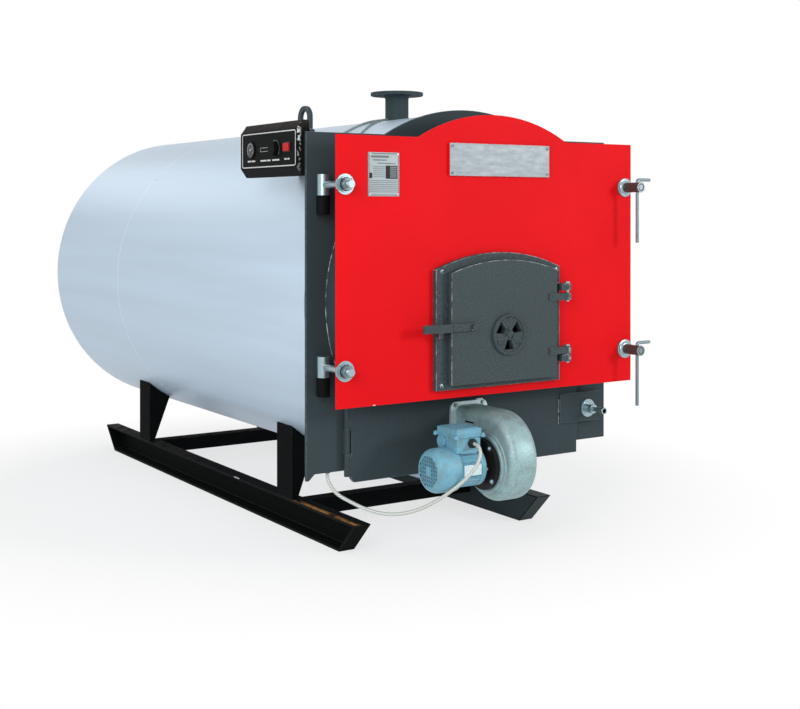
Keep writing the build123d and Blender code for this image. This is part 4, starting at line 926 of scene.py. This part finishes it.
def braid_finish():
    """Cream strands with painted shade in the gaps between them, told apart by the strand value of the mesh.
    """
    shader = Shader("conduit_braid", BRAID_METAL_SHARE)
    strand = shader.add("ShaderNodeAttribute", {}, attribute_name="strand").outputs["Fac"]
    grain = shader.noise(*BRAID_NOISE)
    shade = shader.sum("ADD", strand, shader.fade(grain, *BRAID_SHADE_FADE))
    shader.colour(shader.ramp(shade, *BRAID_SHADE_RAMP))
    shader.gloss(shader.fade(grain, *BRAID_GLOSS_FADE))
    shader.bump(grain, BRAID_DEPTH)


def make_finishes():
    for make, table in (
        (plain_finish, PLAIN_FINISHES),
        (rubbed_finish, RUBBED_FINISHES),
        (stained_finish, STAINED_FINISHES),
    ):
        for name, values in table.items():
            make(name, *values)
    for make in (sheet_finish, skid_finish, chipped_finish, lining_finish, braid_finish):
        make()


def finish_nodes():
    """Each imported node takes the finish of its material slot, and its edges are rounded."""
    for entry in frame["record"]["subparts"]:
        name = entry["node"]
        slot = entry["material_slot"]
        mesh = nodes[name].data
        mesh.materials.clear()
        mesh.materials.append(finish[NODE_FINISHES.get(name, slot)])
        if name in EDGE_WIDTHS:
            # Rounded edges take the rubbed finish of the slot, whose lighter colour is partly painted
            # highlight.
            round_edges(nodes[name], EDGE_WIDTHS[name], finish.get(slot + "_worn"))


def slotted_screw(piece, centre, axis, radius, rise):
    """A low domed head with a slot across it, drawn as a slab of black painted shade."""
    piece.use("zinc_steel")
    piece.lathe(centre, axis, *scaled(SCREW_SHARES, radius, rise))
    first, second = side_axes(axis)
    tilted = (first + second).normalized()
    across = axis.cross(tilted) * radius * SLOT_WIDTH_SHARE
    half = tilted * radius * SLOT_LENGTH_SHARE
    base = Vector(centre) + axis * rise * SLOT_FOOT_SHARE
    outline = [base - half - across, base + half - across, base + half + across, base - half + across]
    # The slot is a black slab of painted shade.
    piece.use("hole_black")
    piece.prism(outline, axis * rise * SLOT_RISE_SHARE)


def hex_bolt(piece, centre, axis, radius, rise, washer_radius, washer_rise):
    """A washer with a chamfered hexagon head on it."""
    piece.lathe(centre, axis, *scaled(WASHER_SHARES, washer_radius, washer_rise))
    piece.lathe(Vector(centre) + axis * washer_rise, axis, *scaled(HEXAGON_SHARES, radius, rise))


def plate_print(piece, shares, depth=PRINT_DEPTH, drop=0):
    """A thin block of print on the rating plate, from shares of its width and height."""
    low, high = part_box("rating_plate")
    left, right, top, bottom = shares
    width = high.x - low.x
    height = high.z - low.z
    piece.block(
        (low.x + left * width, low.y - depth, high.z - (bottom + drop) * height),
        (low.x + right * width, low.y, high.z - (top + drop) * height),
    )


def make_rating_plate():
    """Ruled boxes and blocks of print, and a rivet in each corner."""
    prints = Piece("rating_plate_print", "main_door", "plate_aluminium", "black_print")
    for shares in RATING_BLACK_SHARES:
        plate_print(prints, shares)
    prints.use("plate_aluminium")
    for row in range(RATING_ROWS):
        plate_print(prints, RATING_PALE_SHARES, PALE_PRINT_DEPTH, row * RATING_ROW_STEP_SHARE)
    prints.use("grey_print")
    rim = RATING_RIM_SHARE
    edges = ((rim, 1 - rim, rim, 2 * rim), (rim, 1 - rim, 1 - 2 * rim, 1 - rim))
    edges += ((rim, 2 * rim, rim, 1 - rim), (1 - 2 * rim, 1 - rim, rim, 1 - rim))
    for shares in RATING_HEADER_SHARES + edges:
        plate_print(prints, shares)
    for row in range(RATING_ROWS):
        plate_print(prints, RATING_LINE_SHARES, drop=row * RATING_ROW_STEP_SHARE)
    for row in range(RATING_NOTE_ROWS):
        plate_print(prints, RATING_NOTE_SHARES, drop=row * RATING_NOTE_STEP_SHARE)
    prints.done()
    rivets = Piece("rating_plate_rivets", "main_door", "zinc_steel")
    for place in plate_corners("rating_plate", RATING_RIVET_INSET):
        rivets.lathe(place, TO_FRONT, *scaled(RIVET_SHARES, *RATING_RIVET))
    rivets.done()


def make_door_screws():
    """Slotted screws in the corners of the plate on its red stand-off, and round the fuel door."""
    corners = plate_corners("maker_plate", PLATE_SCREW_INSET)
    for name, places, size in (
        ("maker_plate_screws", corners, PLATE_SCREW),
        ("fuel_frame_screws", FRAME_SCREW_PLACES, FRAME_SCREW),
    ):
        screws = Piece(name, "main_door", "zinc_steel")
        for place in places:
            slotted_screw(screws, place, TO_FRONT, *size)
        screws.done()


def make_fuel_door():
    """Round hinge barrels and the rubbed edge of the cast fuel door, in rubbed iron whose lighter colour is
    partly painted highlight.
    """
    inner = BARREL_RADIUS - BARREL_LIP
    for name, body, spans in (
        ("fuel_leaf_barrels", "fuel_door", LEAF_BARRELS),
        ("fuel_frame_barrels", "main_door", FRAME_BARRELS),
    ):
        barrels = Piece(name, body, "cast_iron", "cast_iron_worn")
        for low, high in spans:
            tall = high - low
            side = ((BARREL_RADIUS, BARREL_LIP), (BARREL_RADIUS, tall - BARREL_LIP))
            profile = ((0, 0), (inner, 0), *side, (inner, tall), (0, tall))
            barrels.lathe((*FUEL_PIN, low), AXIS_Z, BARREL_STEPS, *profile)
        barrels.done()
    line = Piece("fuel_leaf_rubbed_lit_edge", "fuel_door", "cast_iron", "cast_iron_worn")
    line.tube(leaf_edge(), LEAF_LINE_RADIUS)
    line.done()


def leaf_edge():
    """Points up the left edge of the leaf and over its arch."""
    rise = LEAF_CROWN - LEAF_SHOULDER
    radius = (LEAF_HALF_WIDTH**2 + rise**2) / (2 * rise)
    points = [(LEAF_MIDDLE - LEAF_HALF_WIDTH, LEAF_FRONT, LEAF_FOOT)]
    for k in range(LEAF_LINE_STEPS + 1):
        across = LEAF_HALF_WIDTH * (2 * k / LEAF_LINE_STEPS - 1)
        height = LEAF_CROWN - radius + math.sqrt(radius**2 - across**2)
        points.append((LEAF_MIDDLE + across, LEAF_FRONT, height))
    return points


def make_latch():
    """The lever's handle stands off the frame, and its flat tail lies on the leaf at the pivot."""
    lever = Piece("latch_lever_arm", "fuel_latch", "cast_iron")
    lever.block(*LATCH_BAR)
    x, front, z = LATCH_PIVOT
    half = LATCH_FLAT_HALF_HEIGHT
    outline = [(LATCH_FLAT_START, front, z + half), (LATCH_FLAT_START, front, z - half)]
    for k in range(LATCH_STEPS + 1):
        angle = QUARTER_TURN * (2 * k / LATCH_STEPS - 1)
        outline.append((x + half * math.cos(angle), front, z + half * math.sin(angle)))
    lever.prism(outline, AXIS_Y * (LATCH_BACK - front))
    lever.use("zinc_steel")
    lever.lathe(LATCH_PIVOT, TO_FRONT, *scaled(RIVET_SHARES, *LATCH_PIN))
    lever.block(*LATCH_DASH)
    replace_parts(lever.done(BLOCK_EDGE), "latch_lever")


def blade_rows(angle):
    """Rows of points over a lens-shaped rib that lies along one direction of the damper."""
    along = Vector((math.cos(angle), 0, math.sin(angle)))
    across = along.cross(AXIS_Y)
    rows = []
    for k in range(BLADE_LENGTH_STEPS + 1):
        share = k / BLADE_LENGTH_STEPS
        swell = math.sin(math.pi * share) ** BLADE_SWELL_POWER
        middle = Vector(DAMPER_CENTRE) + along * (BLADE_START + share * (BLADE_END - BLADE_START))
        row = []
        for n in range(BLADE_WIDTH_STEPS + 1):
            side = 2 * n / BLADE_WIDTH_STEPS - 1
            crown = (1 - abs(side)) * swell * BLADE_RISE
            row.append(middle + across * side * swell * BLADE_HALF_WIDTH + TO_FRONT * crown)
        rows.append(row)
    return rows


def make_damper():
    """Raised rim, three ridged ribs and the rivet of the air damper."""
    wheel = Piece("damper_rim_and_ribs", "air_damper", "cast_iron")
    wheel.lathe(DAMPER_CENTRE, TO_FRONT, *DAMPER_RIM)
    wheel.lathe(DAMPER_CENTRE, TO_FRONT, *DAMPER_RIVET)
    for angle in spread(*BLADES):
        wheel.skin(blade_rows(angle), closed=False)
    wheel.done()


def make_hinge_nuts():
    """Nuts with a black ring of painted shadow at the foot and a threaded end on the hinge eye-bolts, and
    washers behind the door.
    """
    nuts = Piece("hinge_nuts", "main_door", "zinc_steel", "nut_steel")
    thread = []
    for k in range(THREAD_TURNS):
        start = THREAD_START + k * THREAD_PITCH
        thread += [(THREAD_ROOT, start), (THREAD_CREST, start + THREAD_PITCH / 2)]
    end = THREAD_START + THREAD_TURNS * THREAD_PITCH
    thread += [(THREAD_ROOT, end), (0, end)]
    for height in FIXING_HEIGHTS:
        foot = (HINGE_BOLT_X, HINGE_NUT_FOOT, height)
        nuts.use("nut_steel")
        nuts.lathe(foot, TO_FRONT, *HINGE_NUT)
        nuts.use("zinc_steel")
        nuts.lathe(foot, TO_FRONT, THREAD_STEPS, *thread)
        nuts.lathe((HINGE_BOLT_X, SPRING_WASHER_PLACE, height), TO_FRONT, *SPRING_WASHER)
        # A thin black ring of painted shadow where each nut meets the door.
        nuts.use("hole_black")
        nuts.lathe(foot, TO_FRONT, *HINGE_PAINTED_SHADOW)
    nuts.done()


def make_clamp_collars():
    """Plated collars and mouths on the dark sleeves of the clamps, and the mouth of the ash-door nut with a
    black disc of painted shade in its hole.
    """
    for body, height in zip(("clamp_upper", "clamp_lower"), FIXING_HEIGHTS):
        collar = Piece(body + "_collar", body, "zinc_steel")
        collar.lathe((CLAMP_X, DOOR_FRONT, height), TO_FRONT, *COLLAR)
        collar.use("nut_steel")
        collar.lathe((CLAMP_X, SLEEVE_END, height), TO_FRONT, *SLEEVE_MOUTH)
        collar.done()
    mouth = Piece("ash_nut_mouth", "ash_door", "zinc_steel")
    mouth.lathe(ASH_NUT_END, TO_FRONT, *ASH_NUT_MOUTH)
    # The nut's hole is a black disc of painted shade.
    mouth.use("hole_black")
    mouth.lathe(ASH_NUT_END, TO_FRONT, *ASH_NUT_HOLE)
    mouth.done()


def fan_point(x, radius=0, angle=0):
    """A point round the fan's axis."""
    return Vector((x, FAN_AXIS[0] + radius * math.cos(angle), FAN_AXIS[1] + radius * math.sin(angle)))


def make_fan_casing():
    """Stepped ring, slot and fixings of the cast volute and its flanges; the slot is a thin slab of black
    painted shade.
    """
    casing = Piece("volute_step_ring", "ash_door", "fan_casting")
    casing.lathe(fan_point(VOLUTE_FACE), TO_LEFT, *VOLUTE_STEP)
    # The slot is a thin black slab of painted shade.
    casing.use("hole_black")
    casing.block(*VOLUTE_SLOT)
    casing.done()
    bolts = Piece("fan_flange_bolts", "ash_door", "zinc_steel")
    for x in FLANGE_BOLT_X:
        for z in FLANGE_BOLT_Z:
            hex_bolt(bolts, (x, FLANGE_FRONT, z), TO_FRONT, *FLANGE_BOLT)
    for angle in spread(*DISC_BOLTS):
        hex_bolt(bolts, fan_point(DISC_FACE, DISC_BOLT_CIRCLE, angle), TO_LEFT, *DISC_BOLT)
    bolts.done()
    tab = Piece("fan_flange_tab", "ash_door", "fan_casting", "flange_casting")
    tab.block(*FLANGE_TAB)
    tab.done(TAB_EDGE)


def rib_ring(x, ribbed):
    """A ring of points round the motor, with square ribs where it is ribbed."""
    points = []
    for rib in range(MOTOR_RIB_COUNT):
        for share, sunk in MOTOR_RIB_SHARES:
            radius = MOTOR_RADIUS - MOTOR_RIB_DEPTH * ribbed * sunk
            points.append(fan_point(x, radius, FULL_TURN * (rib + share) / MOTOR_RIB_COUNT))
    return points


def make_motor():
    """Ribbed motor with a nameplate on a pad and four tie nuts."""
    motor = Piece("fan_motor_body", "ash_door", "motor_paint")
    motor.skin([rib_ring(*section) for section in MOTOR_SECTIONS], capped=True)
    motor.use("cover_plastic")
    motor.lathe(fan_point(0), TO_LEFT, *MOTOR_NECK)
    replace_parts(motor.done(), "fan_motor")
    plate = Piece("motor_nameplate", "ash_door", "motor_paint")
    plate.block(*NAMEPLATE_PAD)
    plate.use("flange_casting")
    plate.block(*NAMEPLATE)
    for place in NAMEPLATE_RIVET_PLACES:
        plate.lathe(place, TO_FRONT, *NAMEPLATE_RIVET)
    plate.done(THIN_EDGE)
    ties = Piece("motor_tie_nuts", "ash_door", "zinc_steel")
    for angle in spread(*TIE_NUTS):
        hex_bolt(ties, fan_point(TIE_NUT_PLACE, TIE_NUT_CIRCLE, angle), AXIS_X, *TIE_NUT)
    ties.done()


def make_motor_cover():
    """Rounded cover over the motor's own fan, with a grille of square holes over a black disc of painted
    shade.
    """
    cover = Piece("motor_fan_cover", "ash_door", "motor_paint")
    cover.lathe(fan_point(COVER_START), TO_LEFT, *COVER)
    # A black disc of painted shade inside the cover, behind the grille.
    cover.use("hole_black")
    cover.lathe(fan_point(COVER_START), TO_LEFT, *COVER_HOLE)
    cover.use("motor_paint")
    y, z = FAN_AXIS
    front = GRILLE_FRONT
    back = GRILLE_BACK
    bar = GRILLE_HALF_BAR
    for line in range(-GRILLE_LINES, GRILLE_LINES + 1):
        offset = line * GRILLE_PITCH
        half = math.sqrt(GRILLE_RADIUS**2 - offset**2)
        cover.block((front, y - half, z + offset - bar), (back, y + half, z + offset + bar))
        cover.block((front, y + offset - bar, z - half), (back, y + offset + bar, z + half))
    wide = GRILLE_HUB_HALF_WIDTH
    tall = GRILLE_HUB_HALF_HEIGHT
    cover.block((GRILLE_HUB_FRONT, y - wide, z - tall), (back, y + wide, z + tall))
    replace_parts(cover.done(), "motor_cover")


def make_terminal_box():
    """Rim, lugs, screws, round boss and clip of the terminal box, and the nut of its gland."""
    box = Piece("terminal_box_lid", "ash_door", "motor_paint")
    for corners in (LID_RIM, LID_TOP, BOX_CLIP, BOX_FOOT):
        box.block(*corners)
    box.lathe(BOX_BOSS_CENTRE, TO_LEFT, *BOX_BOSS)
    for x in (LID_RIM[0][0], LID_RIM[1][0]):
        for y in (LID_RIM[0][1], LID_RIM[1][1]):
            box.use("motor_paint")
            box.lathe((x, y, LID_LUG_FOOT), AXIS_Z, *LID_LUG)
            box.use("zinc_steel")
            box.lathe((x, y, LID_LUG_TOP), AXIS_Z, *LID_SCREW)
    box.done(BLOCK_EDGE)
    gland = Piece("gland_nut", "ash_door", "cover_plastic")
    gland.lathe(GLAND_PLACE, TO_FRONT, *GLAND_NUT)
    gland.lathe(GLAND_PLACE, TO_FRONT, *GLAND_CAP)
    gland.done()


def panel_frame(piece, low, high, line, corner, depth):
    """A rounded frame that stands a little off the panel."""
    outer = rounded_outline(low, high, corner)
    inner_corner = max(corner - line, line * INNER_CORNER_SHARE)
    inner = rounded_outline([value + line for value in low], [value - line for value in high], inner_corner)
    rows = []
    for outline, rise in ((outer, 0), (outer, depth), (inner, depth), (inner, 0)):
        rows.append([(PANEL_FACE - rise, *pair) for pair in outline])
    piece.skin(rows)


def dial_mark(piece, centre, angle, inner, outer, half_width, depth):
    """A straight mark on a round dial, from one radius to another."""
    along = Vector((0, math.cos(angle), math.sin(angle)))
    across = AXIS_X.cross(along) * half_width
    start = Vector(centre) + along * inner
    end = Vector(centre) + along * outer
    piece.prism([start - across, end - across, end + across, start + across], TO_LEFT * depth)


def make_panel_print():
    """White outline, pale bars and scale marks on the panel."""
    prints = Piece("panel_print", "boiler_shell", "gauge_face", "label_print")
    panel_frame(prints, *PANEL_OUTLINE)
    for left, right, height in PANEL_BARS:
        low = (PANEL_FACE - PRINT_DEPTH, right, height - PANEL_BAR_HALF_HEIGHT)
        prints.block(low, (PANEL_FACE, left, height + PANEL_BAR_HALF_HEIGHT))
    prints.use("dial_marks")
    panel_frame(prints, *RESET_OUTLINE)
    for angle in spread(*KNOB_SCALE):
        dial_mark(prints, (PANEL_FACE, *KNOB_CENTRE), angle, *KNOB_TICK)
    prints.done()


def make_panel_fittings():
    """Bezel, dial and needle of the gauge, and the switch surround."""
    gauge = Piece("gauge_dial", "boiler_shell", "gauge_face", "dial_marks")
    for angle in spread(*GAUGE_SCALE):
        dial_mark(gauge, GAUGE_CENTRE, angle, *GAUGE_TICK)
    dial_mark(gauge, GAUGE_CENTRE, GAUGE_NEEDLE_ANGLE, *GAUGE_NEEDLE)
    gauge.lathe(GAUGE_CENTRE, TO_LEFT, *GAUGE_HUB)
    gauge.use("box_paint")
    gauge.lathe(GAUGE_CENTRE, TO_LEFT, *GAUGE_BEZEL)
    gauge.done()
    surround = Piece("switch_surround", "boiler_shell", "cover_plastic")
    panel_frame(surround, *SWITCH_SURROUND)
    surround.done()


def make_knob():
    """Bright rim, pointer and grip of the thermostat knob."""
    knob = Piece("knob_pointer_and_grip", "thermostat", "cover_plastic", "box_paint")
    y, z = KNOB_CENTRE
    for angle in spread(KNOB_GRIP_COUNT):
        place = (y + KNOB_GRIP_CIRCLE * math.cos(angle), z + KNOB_GRIP_CIRCLE * math.sin(angle))
        knob.tube([(x, *place) for x in KNOB_GRIP_X], KNOB_GRIP_RADIUS)
    knob.use("dial_marks")
    knob.lathe((KNOB_FACE, y, z), TO_LEFT, *KNOB_RIM)
    dial_mark(knob, (KNOB_FACE, y, z), KNOB_POINTER_ANGLE, *KNOB_POINTER)
    knob.done()


def make_barrel_screws():
    """Sheet screws along the seam of the cladding, and round the edge of the back end."""
    screws = Piece("cladding_screws", "boiler_shell", "zinc_steel", "flange_casting")
    middle = Vector((0, SEAM_PLACE - SEAM_SCREW_OFFSET, BARREL_AXIS_HEIGHT))
    for angle in spread(*SEAM_SCREWS):
        outward = Vector((math.cos(angle), 0, math.sin(angle)))
        screws.lathe(middle + outward * CLADDING_RADIUS, outward, *SEAM_SCREW)
    screws.done()
    back = Piece("back_rim_and_screws", "boiler_shell", "cladding_sheet")
    back.lathe(BACK_CENTRE, AXIS_Y, *BACK_RIM)
    back.use("zinc_steel")
    base = Vector(BACK_CENTRE) + AXIS_Y * BACK_SCREW_BASE
    for place in ring(base, *side_axes(AXIS_Y), BACK_SCREW_CIRCLE, BACK_SCREW_COUNT):
        hex_bolt(back, place, AXIS_Y, *BACK_SCREW)
    back.done()


def make_pipe_welds():
    """Weld fillets at the feet of the flue collar, the return stub and the supply flange."""
    welds = Piece("pipe_welds", "boiler_shell", "dark_paint")
    welds.lathe(COLLAR_CENTRE, AXIS_Y, *COLLAR_BEAD)
    welds.lathe(COLLAR_CENTRE, AXIS_Y, *COLLAR_FOOT)
    welds.lathe(STUB_CENTRE, AXIS_Y, *STUB_FOOT)
    welds.lathe(PIPE_PLACE, AXIS_Z, *PIPE_NECK)
    welds.done()


def weld_bead(piece, points, radius):
    """A rippled bead of weld along a line of points."""
    points = [Vector(point) for point in points]
    beads = []
    for start, end in zip(points, points[1:]):
        count = max(2, 2 * round((end - start).length / BEAD_STEP))
        beads += [start.lerp(end, k / count) for k in range(count)]
    beads.append(points[-1])
    sides = side_axes((points[-1] - points[0]).normalized())
    rows = []
    for k, middle in enumerate(beads):
        rows.append(ring(middle, *sides, radius * (1 if k % 2 else BEAD_DIP_SHARE), BEAD_SIDES))
    piece.skin(rows, capped=True)


def ring_bead_points():
    """Points down the left side of the smoke-box ring where it meets the front plate."""
    start, end = RING_BEAD_ANGLES
    points = []
    for k in range(RING_BEAD_STEPS + 1):
        angle = start + (end - start) * k / RING_BEAD_STEPS
        across = RING_BEAD_RADIUS * math.cos(angle)
        points.append((across, RING_BEAD_PLACE, BARREL_AXIS_HEIGHT + RING_BEAD_RADIUS * math.sin(angle)))
    return points


def make_welds():
    """Beads where the legs stand on the runners, on the front plate and round the ash-door strap."""
    # The leg welds take the rubbed skid paint, a lighter copy of it that is partly painted highlight.
    skid = Piece("leg_welds", "boiler_shell", "skid_paint", "skid_paint_worn")
    for side in (-1, 1):
        for y in LEG_ENDS_Y:
            weld_bead(skid, [(side * x, y, RUNNER_TOP) for x in RUNNER_X], LEG_BEAD_RADIUS)
    skid.done()
    plate = Piece("front_plate_welds", "boiler_shell", "dark_paint", "weld_marks")
    weld_bead(plate, ring_bead_points(), PLATE_BEAD_RADIUS)
    weld_bead(plate, PLATE_TICK, PLATE_BEAD_RADIUS)
    plate.done()
    door = Piece("ash_strap_welds", "ash_door", "dark_paint", "weld_marks")
    weld_bead(door, DOOR_BRIGHT_BEAD, DOOR_BEAD_RADIUS)
    door.use("dark_paint")
    weld_bead(door, DOOR_DARK_BEAD, DOOR_BEAD_RADIUS)
    door.done()


def make_chips():
    """Spots of bare metal on the left runner's top edge and on the red door's bottom edge."""
    for name, body, slot, line in (
        ("runner_chip", "boiler_shell", "skid_paint", RUNNER_CHIP),
        ("door_chip", "main_door", "red_paint", DOOR_CHIP),
    ):
        chip = Piece(name, body, slot, "label_print")
        weld_bead(chip, line, CHIP_RADIUS)
        chip.done()


def conduit_line():
    """Points along a smooth curve that follows the conduit's route."""
    curve = bpy.data.curves.new("conduit_line", "CURVE")
    curve.dimensions = "3D"
    spline = curve.splines.new("NURBS")
    spline.points.add(len(CONDUIT_ROUTE) - 1)
    for point, place in zip(spline.points, CONDUIT_ROUTE):
        point.co = (*place, 1)
    spline.order_u = CONDUIT_ORDER
    spline.use_endpoint_u = True
    spline.resolution_u = CONDUIT_STEPS
    holder = add_object("conduit_line", curve)
    bpy.context.view_layer.update()
    line = [vertex.co.copy() for vertex in bpy.data.meshes.new_from_object(holder).vertices]
    bpy.data.objects.remove(holder)
    return line


def strand_rows(line):
    """Rings of points along a line with strands that wind round it, and how far each point stands out."""
    run = 0
    before = line[0]
    rows = []
    strands = []
    for point, side, other in along_line(line):
        run += (point - before).length
        before = point
        row = []
        for angle in spread(CONDUIT_SIDES):
            strand = (1 + math.sin(STRAND_COUNT * angle + STRAND_TWIST * run)) / 2
            radius = CONDUIT_RADIUS - STRAND_DEPTH * (1 - strand)
            row.append(point + radius * (side * math.cos(angle) + other * math.sin(angle)))
            strands.append(strand)
        rows.append(row)
    return rows, strands


def make_conduit():
    """The braided sleeve hangs from the motor, sags and goes into the plate's gland."""
    line = conduit_line()
    rows, strands = strand_rows(line)
    sleeve = Piece("flexible_conduit", "ash_door", "conduit_braid")
    sleeve.skin(rows, capped=True)
    piece = sleeve.shape()
    piece.data.attributes.new("strand", "FLOAT", "POINT").data.foreach_set("value", strands)
    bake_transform(piece)
    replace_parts(piece, "conduit")


def make_floor():
    """A pale floor that keeps the shadow near the object and meets the white backdrop further out."""
    mesh = bpy.data.meshes.new("floor")
    half = FLOOR_SIZE / 2
    corners = [(-half, -half, 0), (half, -half, 0), (half, half, 0), (-half, half, 0)]
    mesh.from_pydata(corners, [], [range(len(corners))])
    floor = add_object("floor", mesh)
    shader = Shader("pale_floor")
    shader.tree.nodes.remove(shader.surface)
    matt = shader.add("ShaderNodeBsdfDiffuse", {"Color": FLOOR_COLOUR}).outputs["BSDF"]
    glow = shader.add("ShaderNodeEmission", {"Color": BACKDROP_WHITE}).outputs["Emission"]
    reach = shader.add("ShaderNodeVectorMath", {0: shader.place, 1: FLOOR_MIDDLE}, operation="DISTANCE")
    share = shader.sum("MULTIPLY", shader.fade(reach.outputs["Value"], *FLOOR_FADE), shader.seen_share())
    mixed = shader.add("ShaderNodeMixShader", {"Fac": share, 1: matt, 2: glow})
    shader.feed(shader.tree.nodes["Material Output"].inputs["Surface"], mixed.outputs["Shader"])
    mesh.materials.append(shader.material)


def make_world():
    """White to the camera and in reflections, and a plain level of light elsewhere."""
    world = bpy.data.worlds.new("studio")
    bpy.context.scene.world = world
    world.use_nodes = True
    sky = Nodes(world.node_tree)
    backdrop = sky.tree.nodes["Background"]
    sky.feed(backdrop.inputs["Color"], BACKDROP_WHITE)
    sky.feed(backdrop.inputs["Strength"], sky.fade(sky.seen_share(), *AMBIENT_FADE))


def make_lamps():
    for name, place, size, power in LAMPS:
        lamp = bpy.data.lights.new(name, "AREA")
        lamp.size = size
        lamp.energy = power
        holder = add_object(name, lamp)
        holder.location = place
        aim = Vector(LIGHT_AIM) - Vector(place)
        holder.rotation_euler = aim.to_track_quat("-Z", "Y").to_euler()


def make_camera():
    camera = bpy.data.cameras.new("camera")
    camera.lens = CAMERA_LENS
    camera.sensor_width = SENSOR_WIDTH
    camera.shift_y = CAMERA_SHIFT
    holder = add_object("camera", camera)
    holder.location = CAMERA_PLACE
    holder.rotation_euler = (math.radians(CAMERA_TILT), 0, math.radians(CAMERA_TURN))
    bpy.context.scene.camera = holder


bpy.context.scene.view_settings.view_transform = "Standard"
make_finishes()
finish_nodes()
make_conduit()
make_rating_plate()
make_door_screws()
make_fuel_door()
make_latch()
make_damper()
make_hinge_nuts()
make_clamp_collars()
make_fan_casing()
make_motor()
make_motor_cover()
make_terminal_box()
make_panel_print()
make_panel_fittings()
make_knob()
make_barrel_screws()
make_pipe_welds()
make_welds()
make_chips()
make_floor()
make_world()
make_lamps()
make_camera()
